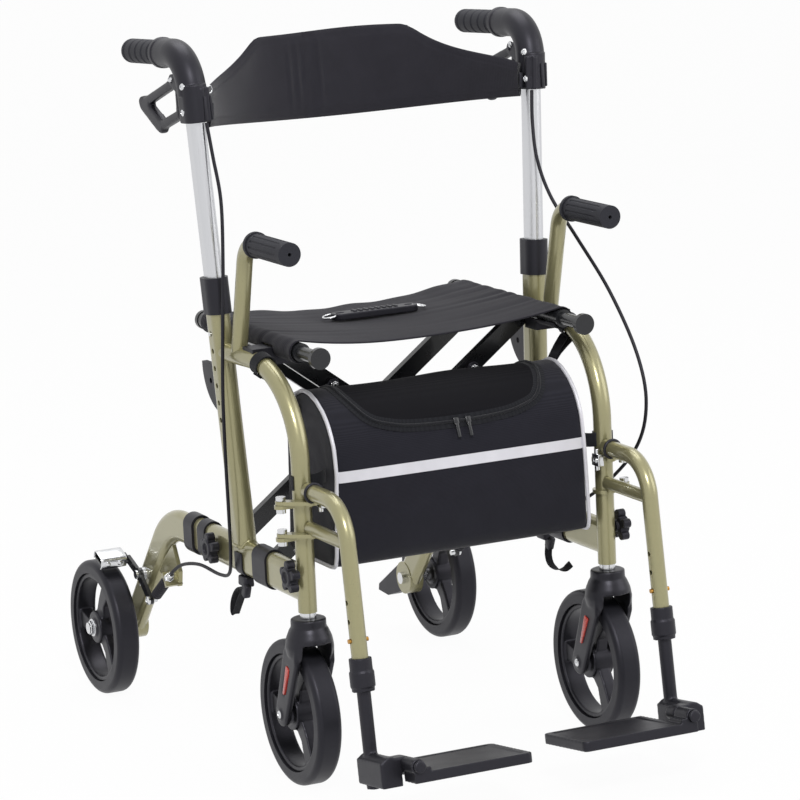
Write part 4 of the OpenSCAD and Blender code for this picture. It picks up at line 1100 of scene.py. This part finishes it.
def ring(middle, axis, radius, wire, flat=1.0):
    """A wire ring round an axis, squeezed along its second direction by flat."""
    lean = Vector(axis).to_track_quat("Z", "Y").to_matrix()
    path = [Vector(middle) + lean @ Vector((radius * math.cos(t), flat * radius * math.sin(t), 0))
            for t in (2 * math.pi * k / 36 for k in range(36))]
    return tube(path, wire, closed=True)


def rounded(node, voxel, passes):
    """A copy of a solid with the soft edges and fillets of a moulding."""
    solid = frame["nodes"][node]
    piece = bpy.data.objects.new(node + "_moulding", solid.data.copy())
    bpy.context.scene.collection.objects.link(piece)
    clean(piece, outward=False)
    applied(piece, "REMESH", mode="VOXEL", voxel_size=voxel)
    applied(piece, "SMOOTH", factor=0.5, iterations=passes)
    return piece


def skin_at(obj, spot, way):
    """Where a line from outside meets a piece, and the normal there."""
    hit, place, normal, _ = obj.ray_cast(Vector(spot), Vector(way))
    if not hit:
        raise RuntimeError(f"{obj.name} isn't met from {tuple(spot)}")
    return place, normal


def mm(x, y, z):
    """A place given in millimetres."""
    return Vector((x, y, z)) / 1000


# Moulded pieces: node, body, voxel in metres, smoothing passes
MOULDINGS = (("caster_fork", "caster", 0.0014, 14), ("handle_housing", "handle", 0.0010, 4),
             ("brake_lever", "lever", 0.0017, 26), ("front_knob", "front_knob", 0.0009, 4),
             ("rear_knob", "rear_knob", 0.0009, 4), ("footplate", "plate", 0.0014, 4),
             ("foot_stem", "foot", 0.0013, 16), ("foot_collar", "hanger", 0.0011, 3),
             ("rear_core", "rear_wheel", 0.0015, 5), ("front_core", "front_wheel", 0.0015, 5))


class ROLLATOR_OT_mouldings(bpy.types.Operator):
    """Rounds the edges of the moulded pieces: forks, housings, levers, knobs, wheels and footrests"""
    bl_idname = "rollator.mouldings"
    bl_label = "Mouldings"

    def execute(self, context):
        for name, body, voxel, passes in MOULDINGS:
            for side, _ in SIDES:
                node = side + "_" + name
                slot = SLOT_OF[node]
                piece = rounded(node, voxel, passes)
                dressed(piece, node + "_moulding", side + "_" + body, slot, FINISHES[slot], 60)
                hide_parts(node)
        return {"FINISHED"}


# Wheels: hubs at the ends of the axles, the caster's slanting leg, and the steps of a bearing's face

REAR_HUB = mm(-296.0, 406, 100)
FRONT_HUB = mm(-228, -188, 100)
LEG_WAY = Vector((0, -0.4061, 0.9138))
LEG_OUT = 29.5
# How far in and how far up each step goes, from the rim, in metres
BEARING_STEPS = ((0.0004, 0.0004), (0.0022, 0.0), (0.0004, -0.0007), (0.0028, 0.0), (0.0004, 0.0007))


class ROLLATOR_OT_hubs(bpy.types.Operator):
    """Fits the bearings, axle nuts, fork bolts and reflectors"""
    bl_idname = "rollator.hubs"
    bl_label = "Hubs and reflectors"

    def execute(self, context):
        bearing = placed(self.bearing(), REAR_HUB + mm(-0.1, 0, 0), (-1, 0, 0))
        both(bearing, "hub_bearing", "rear_wheel", "zinc", "zinc")
        end = placed(nut(0.0185, 0.0048, 0.0012), REAR_HUB + mm(-3.6, 0, 0), (-1, 0, 0))
        both(end, "axle_nut", "frame", "zinc", "zinc", 30)
        ends = [placed(screw(0.0056, 0.0034), FRONT_HUB + mm(s * (LEG_OUT + 0.6), 0, 0), (s, 0, 0))
                for s in (-1, 1)]
        both(joined(ends), "fork_bolts", "caster", "zinc", "zinc")
        lamps = [self.reflector(-LEG_OUT + 1.1), self.reflector(LEG_OUT + 0.2)]
        both(joined(lamps), "fork_reflectors", "caster", "wheel_plastic", "reflector", 30)
        return {"FINISHED"}

    def bearing(self):
        """A pressed bearing: outer ring, sunk shield and inner ring."""
        deselect()
        bpy.ops.mesh.primitive_cylinder_add(vertices=48, radius=0.0132, depth=0.0024)
        disc = bpy.context.object
        pick(disc, lambda f: f.normal.z > 0.9)
        for inward, lift in BEARING_STEPS:
            bpy.ops.mesh.inset(thickness=inward)
            bpy.ops.transform.translate(value=(0, 0, lift))
        bpy.ops.object.mode_set(mode="OBJECT")
        return clean(disc)

    def reflector(self, x):
        """A bar that narrows towards the axle, with rounded edges and a low ridge."""
        deselect()
        bpy.ops.mesh.primitive_cube_add(size=1.0)
        bar = bpy.context.object
        bpy.ops.transform.resize(value=(0.0036, 0.0098, 0.0440))
        settled(bar)
        pick(bar, lambda f: f.normal.z < -0.9)
        bpy.ops.transform.resize(value=(1.0, 0.45, 1.0))
        pick(bar, lambda f: abs(f.normal.x) > 0.9)
        bpy.ops.mesh.inset(thickness=0.0012, use_individual=True)
        bpy.ops.transform.resize(value=(1.24, 1.0, 1.0))
        bpy.ops.object.mode_set(mode="OBJECT")
        applied(bar, "BEVEL", width=0.0007, segments=2)
        turn = math.atan2(LEG_WAY.y, LEG_WAY.z)
        middle = FRONT_HUB + mm(x, 0, 0) + LEG_WAY * 0.0565
        bar.matrix_world = Matrix.Translation(middle) @ Matrix.Rotation(-turn, 4, "X")
        return clean(settled(bar))


# Rear brakes: the shoe lies across the tyre, along the wheel's own directions

SHOE = mm(-277.5, 368, 206)
SHOE_ALONG = Vector((0, 0.9414, 0.3372))
SHOE_OUT = Vector((0, -0.3372, 0.9414))
BRAKE_PIN = mm(-243, 324, 191)
# The folded plate's outline in millimetres, along the shoe and out of it
SHOE_OUTLINE = ((-13.0, -3.2), (-14.6, -1.0), (-15.2, 2.0), (-15.2, 8.0), (-14.2, 11.2), (-11.2, 13.2),
                (-6.0, 13.8), (6.0, 14.2), (11.0, 13.4), (13.8, 11.0), (14.6, 7.0), (14.6, 1.0))


class ROLLATOR_OT_brakes(bpy.types.Operator):
    """Fits the folded brake shoes, their springs, screws and cable nuts"""
    bl_idname = "rollator.brakes"
    bl_label = "Rear brakes"

    def execute(self, context):
        both(self.shoe(), "brake_shoe", "brake", "zinc", "zinc", 35)
        both(self.spring(), "brake_spring", "brake", "zinc", "zinc", 60)
        end = placed(screw(0.0062, 0.0042), mm(-253.4, 284, 160), (-1, 0, 0))
        clamp = placed(peg(0.0042, 0.012, 0.0008), mm(-246, 284, 160), (1, 0, 0))
        both(joined([end, clamp]), "brake_cable_clamp", "brake", "zinc", "zinc")
        way = (ARM_END - BARREL).normalized()
        seat = Vector((-BRAKE_X, 0, 0)) + BARREL
        lock = placed(nut(0.0125, 0.0050, 0.0008), seat - way * 0.0052, -way)
        sleeve = placed(peg(0.0044, 0.0130, 0.0006), seat - way * 0.0125, -way)
        both(joined([lock, sleeve]), "cable_adjuster", "frame", "zinc", "zinc", 30)
        return {"FINISHED"}

    def shoe(self):
        """A folded steel plate with a lip, and two pressed dimples on its front."""
        points = [SHOE + SHOE_ALONG * t / 1000 + SHOE_OUT * n / 1000 for t, n in SHOE_OUTLINE]
        points = curve_through(points, 3)
        middle = SHOE + SHOE_OUT * 0.003
        plate = ribbon(points, [(p - middle).normalized() for p in points], 0.0400, 0.0018)
        applied(plate, "BEVEL", width=0.0005, segments=2, limit_method="ANGLE", angle_limit=math.radians(50))
        front = SHOE - SHOE_ALONG * 0.0158 + SHOE_OUT * 0.0050
        dimples = [placed(screw(0.0040, 0.0022), front + mm(x, 0, 0), -SHOE_ALONG) for x in (-9.5, 9.5)]
        return joined([plate] + dimples)

    def spring(self):
        """A torsion spring on the pivot, with one leg along the arm and one on the frame."""
        turns, radius, long = 3.25, 0.0088, 0.0056
        path = []
        for k in range(61):
            t = 2 * math.pi * turns * k / 60
            x = -long / 2 + long * k / 60
            path.append(BRAKE_PIN + Vector((x, radius * math.cos(t), radius * math.sin(t))))
        first = path[0] + Vector((0, 0.0005, -0.020))
        last = path[-1] + Vector((0, -0.022, 0.0005))
        return tube([first] + path + [last], 0.0016, sides=2)


# Handles: screws in the housings and the backrest's fixings

HOUSING_SCREWS = {"left": ((38.7, 942.0), (-11.5, 935.5), (-6.9, 899.9)),
                  "right": ((36.0, 946.0), (-13.0, 939.0), (-20.0, 902.0))}


class ROLLATOR_OT_handle_trim(bpy.types.Operator):
    """Fits the housing screws and the backrest's rings and clips"""
    bl_idname = "rollator.handle_trim"
    bl_label = "Handle trim"

    def execute(self, context):
        # Both housings are the same moulding, so their screws are on the same face
        for side, s in SIDES:
            housing = bpy.data.objects[side + "_handle_housing_moulding"]
            heads = []
            for y, z in HOUSING_SCREWS[side]:
                place, normal = skin_at(housing, mm(-400 if s < 0 else 150, y, z), (1, 0, 0))
                heads.append(placed(screw(0.0046, 0.0030), place, normal))
            dressed(joined(heads), side + "_housing_screws", side + "_handle", "zinc", FINISHES["zinc"])
            dressed(self.ribs(housing, s), side + "_housing_ribs", side + "_handle", "black_plastic",
                    FINISHES["black_plastic"])
        hook = ring(mm(-237.0, -13.5, 929), (0.35, -1, 0), 0.0040, 0.0015, 1.25)
        dressed(hook, "backrest_ring", "left_handle", "zinc", FINISHES["zinc"], 60)
        clip = placed(block((0.0070, 0.0050, 0.0220), 0.0016), mm(-236.5, -13.5, 900), (0, 0, 1))
        both(clip, "backrest_clip", "handle", "black_plastic", "black_plastic")
        return {"FINISHED"}

    def ribs(self, housing, s):
        """Upright ribs on the front of the housing's collar."""
        first, _ = skin_at(housing, mm(s * 400, 0, 905), (-s, 0, 0))
        inner, _ = skin_at(housing, mm(s * 150, 0, 905), (s, 0, 0))
        axis = (first.x + inner.x) / 2
        pieces = []
        for turn in (12, 38, 64):
            out = Vector((math.sin(math.radians(turn)), -math.cos(math.radians(turn)), 0))
            high, _ = skin_at(housing, Vector((axis, 0, 0.918)) + out * 0.1, -out)
            low, _ = skin_at(housing, Vector((axis, 0, 0.893)) + out * 0.1, -out)
            way = (high - low).normalized()
            rib = block((0.0042, 0.0046, 0.0330), 0.0010)
            across = way.cross(out).normalized()
            rib.matrix_world = Matrix((across, way.cross(across), way)).transposed().to_4x4()
            rib.matrix_world.translation = (high + low) / 2
            pieces.append(clean(settled(rib)))
        return joined(pieces)


class ROLLATOR_OT_seat_grip(bpy.types.Operator):
    """Models the seat's lifting handle: a soft ribbed grip between two wire rings"""
    bl_idname = "rollator.seat_grip"
    bl_label = "Seat handle"

    def execute(self, context):
        grip = rounded("seat_handle", voxel=0.0009, passes=8)
        low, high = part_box("seat_handle")
        middle = (Vector(low) + Vector(high)) / 2
        ribs = []
        for k in range(8):
            rib = block((0.0042, 0.0150, 0.0030), 0.0010)
            spot = Vector((middle.x - 0.0315 + 0.0090 * k, middle.y, high[2] + 0.0004))
            ribs.append(placed(rib, spot, (0, 0, 1)))
        handle = joined([grip] + ribs)
        dressed(handle, "seat_handle_grip", "seat_handle", SLOT_OF["seat_handle"],
                FINISHES["black_plastic"], 50)
        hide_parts("seat_handle")
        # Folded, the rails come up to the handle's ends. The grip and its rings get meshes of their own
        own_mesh(handle)
        for side, s in SIDES:
            spot = Vector((middle.x + s * 0.0690, middle.y, high[2] - 0.0036))
            link = ring(spot, (s * 0.18, 0, 1), 0.0105, 0.0030, 0.86)
            dressed(link, side + "_seat_handle_ring", "seat_handle", "zinc", FINISHES["zinc"], 60)
            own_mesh(link)
        return {"FINISHED"}


# Straps: place of the side frame, and place and radius of its front post, in millimetres

FRAME_X, POST_Y, POST_R = -228, -230, 12.7


class ROLLATOR_OT_straps(bpy.types.Operator):
    """Ties the bag's straps round the frame and hangs the webbing tails"""
    bl_idname = "rollator.straps"
    bl_label = "Straps"

    def execute(self, context):
        both(self.loop(context.scene.chair_sizes), "bag_strap", "frame", "bag_cloth", "webbing", 60)
        both(self.post_band(), "post_band", "frame", "bag_cloth", "webbing", 60)
        both(self.rail_clip(), "rail_clip", "frame", "black_plastic", "black_plastic", 50)
        for (side, _), tail in zip(SIDES, (self.tail(), self.hook())):
            dressed(tail, side + "_webbing_tail", side + "_frame", "bag_cloth", FINISHES["webbing"], 60)
        return {"FINISHED"}

    def loop(self, sizes):
        """A web that hugs the bend of the front tube and runs down to the bag's top seam."""
        middle = mm(-233.6, -137, 568.4)
        along = Vector((0.06, -0.97, -0.24)).normalized()
        side = Vector((1, 0, 0))
        side = (side - along * side.dot(along)).normalized()
        top = along.cross(side)
        if top.z < 0:
            top.negate()
        reach = 0.0152
        around = [middle + (side * math.cos(t) + top * math.sin(t)) * reach
                  for t in (math.radians(-62 + 304 * k / 28) for k in range(29))]
        path = [mm(-189, -143, 500), mm(-192, -142, 512), mm(-207, -141, 536)] + around
        path += [mm(-209, -141, 533), mm(-194, -142, 509), mm(-191, -143, 497)]
        path = curve_through(path, 3)
        return ribbon(path, self.square(path, along), sizes.strap * 0.72, 0.0016)

    def post_band(self):
        """A strap from the bag's side panel that lies round the back of the post."""
        post = mm(FRAME_X, POST_Y, 424)
        reach = (POST_R + 1.0) / 1000
        around = [post + Vector((math.cos(t), math.sin(t), 0)) * reach
                  for t in (math.radians(-18 + 216 * k / 20) for k in range(21))]
        start = [mm(-188.5, -222, 426), mm(-196, -229, 425.5), mm(-205, -233.5, 424.5)]
        path = curve_through(start + around, 3)
        return ribbon(path, self.square(path, (0, 0, 1)), 0.0190, 0.0014)

    def rail_clip(self):
        """A moulded clip that grips the rail from below and holds the webbing."""
        reach, y = 13.4, -34
        under = [mm(FRAME_X - reach, y, 292), mm(FRAME_X - reach, y, 280)]
        under += [mm(FRAME_X - reach * math.cos(t), y, 271.6 - reach * math.sin(t))
                  for t in (math.pi * k / 14 for k in range(15))]
        under += [mm(FRAME_X + reach, y, 280), mm(FRAME_X + reach, y, 292)]
        centre = mm(FRAME_X, y, 275)
        strap = ribbon(under, [(p - centre).normalized() for p in under], 0.0240, 0.0024)
        applied(strap, "BEVEL", width=0.0007, segments=2, limit_method="ANGLE", angle_limit=math.radians(50))
        jaw = placed(block((0.0150, 0.0260, 0.0150), 0.0030), mm(FRAME_X - 5, -37, 251.6), (0, 0, 1))
        hook = placed(block((0.0100, 0.0130, 0.0200), 0.0024), mm(FRAME_X - 9, -46, 240), (0, -0.5, 1))
        return joined([strap, jaw, hook])

    def tail(self):
        """A loose web loop that hangs from the clip, pinched at its end."""
        side = FRAME_X - 8
        path = [mm(side, -44, 243), mm(side - 1, -30, 242), mm(side - 2, -17, 234), mm(side - 4, -9, 220),
                mm(side - 4, -5, 205), mm(side - 3, -6.4, 199), mm(side - 2, -9, 203), mm(side - 1, -17, 215),
                mm(side, -26, 228), mm(side + 1, -35, 238), mm(side + 1, -42, 245)]
        path = curve_through(path, 6)
        return ribbon(path, self.square(path, (1, 0.15, 0)), 0.0120, 0.0013)

    def hook(self):
        """The right tail, which hangs down and curls outward."""
        side = 8 - FRAME_X
        path = [mm(side, -44, 246), mm(side, -43, 234), mm(side - 1, -43, 220), mm(side + 1, -46, 208),
                mm(side + 8, -52, 201), mm(side + 17, -58, 201), mm(side + 25, -62, 208)]
        path = curve_through(path, 6)
        return ribbon(path, self.square(path, (-0.35, 1, 0)), 0.0130, 0.0013)

    def square(self, path, across):
        """At each point of a path, the direction square to it and to the web's width."""
        last = len(path) - 1
        return [(path[min(i + 1, last)] - path[max(i - 1, 0)]).cross(Vector(across)).normalized()
                for i in range(len(path))]


# Weld beads: how far they spread over the rail, how low and high they lie, and their thickness, in metres

BEAD_SIDES, BEAD_LOW, BEAD_HIGH, BEAD_THICK = (-0.2395, -0.2165), 0.2975, 0.312, 0.0042


class ROLLATOR_OT_welds(bpy.types.Operator):
    """Lays the weld beads at the feet of the uprights"""
    bl_idname = "rollator.welds"
    bl_label = "Weld beads"

    def execute(self, context):
        rail = frame["nodes"]["left_rail"]
        upright = frame["nodes"]["left_upright"]
        path = []
        foot = mm(FRAME_X - 1.4, -29.5, 313)
        for k in range(72):
            t = 2 * math.pi * k / 72
            out = Vector((math.cos(t), math.sin(t), 0))
            place, _ = skin_at(upright, foot + out * 0.08, -out)
            x = max(BEAD_SIDES[0], min(BEAD_SIDES[1], place.x))
            drop, spot, _, _ = rail.ray_cast(Vector((x, place.y, 0.34)), Vector((0, 0, -1)))
            low = spot.z if drop else 0.300
            path.append(Vector((place.x, place.y, max(BEAD_LOW, min(BEAD_HIGH, low + 0.0006)))))
        bead = tube(path, BEAD_THICK, closed=True)
        # Ripples of the weld pool, about 2.5 mm apart
        for point in bead.data.vertices:
            run = math.atan2(point.co.y - foot.y, point.co.x - foot.x) * 30
            point.co.z += 0.0004 * math.sin(run)
        both(bead, "upright_weld", "frame", "frame_paint", "frame_paint", 60)
        return {"FINISHED"}


# Bolts of a brace bar: name, place across the chair, along the bar's own side, and height in millimetres

BRACE_BOLTS = (("upper", 104, 516.8), ("lower", -118, 349.0))


class ROLLATOR_OT_joint_bolts(bpy.types.Operator):
    """Fits the bolts and bushes on the brace bars, and the rings and latches on the footrest hangers"""
    bl_idname = "rollator.joint_bolts"
    bl_label = "Brace bolts and hanger latches"

    def execute(self, context):
        for body, s in (("brace_a", 1), ("brace_b", -1)):
            bars = frame["nodes"][body]
            for end, x, z in BRACE_BOLTS:
                place, normal = skin_at(bars, mm(x * s, -300, z), (0, 1, 0))
                bush = placed(peg(0.0088, 0.0090, 0.0012), place + normal * 0.0042, normal)
                dressed(bush, f"{body}_bush_{end}", body, "black_plastic", FINISHES["black_plastic"])
                bolt = placed(nut(0.0100, 0.0040, 0.0008), place + normal * 0.0104, normal)
                dressed(bolt, f"{body}_bolt_{end}", body, "zinc", FINISHES["zinc"], 30)
        collar = ring(mm(-225, -262, 414), (0, 1, 0), 0.0122, 0.0046)
        both(collar, "hanger_ring", "hanger", "black_plastic", "black_plastic", 60)
        both(self.latch(), "hanger_latch", "hanger", "zinc", "zinc", 35)
        return {"FINISHED"}

    def latch(self):
        """A plated spring latch under the hanger's tube, inside the post."""
        case = placed(block((0.0090, 0.0200, 0.0170), 0.0014), mm(-208.6, -249, 399), (0, 0, 1))
        bolt = placed(peg(0.0036, 0.0300, 0.0008), mm(-208.6, -247, 399), (0, 0, 1))
        head = placed(screw(0.0042, 0.0030), mm(-203.6, -252, 399), (1, 0, 0))
        stay = placed(block((0.0130, 0.0100, 0.0026), 0.0006), mm(-214.5, -251, 404.5), (0, 0, 1))
        return joined([case, bolt, head, stay])


class ROLLATOR_PT_panel(bpy.types.Panel):
    """Lists the steps in the sidebar"""
    bl_idname = "ROLLATOR_PT_panel"
    bl_label = "Rollator"
    bl_space_type = "VIEW_3D"
    bl_region_type = "UI"
    bl_category = "Rollator"

    def draw(self, context):
        for step in STEPS:
            self.layout.operator(step.bl_idname)
        for group in (context.scene.chair_sizes, context.scene.chair_colours):
            for key in group.__annotations__:
                self.layout.prop(group, key)


STEPS = (ROLLATOR_OT_stage, ROLLATOR_OT_finishes, ROLLATOR_OT_cables, ROLLATOR_OT_seat,
         ROLLATOR_OT_backrest, ROLLATOR_OT_bag, ROLLATOR_OT_mouldings, ROLLATOR_OT_hubs,
         ROLLATOR_OT_brakes, ROLLATOR_OT_handle_trim, ROLLATOR_OT_seat_grip, ROLLATOR_OT_straps,
         ROLLATOR_OT_welds, ROLLATOR_OT_joint_bolts)
CLASSES = (ChairColours, ChairSizes) + STEPS + (ROLLATOR_PT_panel,)


def register():
    for cls in CLASSES:
        bpy.utils.register_class(cls)
    bpy.types.Scene.chair_colours = PointerProperty(type=ChairColours)
    bpy.types.Scene.chair_sizes = PointerProperty(type=ChairSizes)


def unregister():
    del bpy.types.Scene.chair_sizes
    del bpy.types.Scene.chair_colours
    for cls in reversed(CLASSES):
        bpy.utils.unregister_class(cls)


def main():
    register()
    for step in STEPS:
        group, name = step.bl_idname.split(".")
        getattr(getattr(bpy.ops, group), name)()


if __name__ == "__main__":
    main()
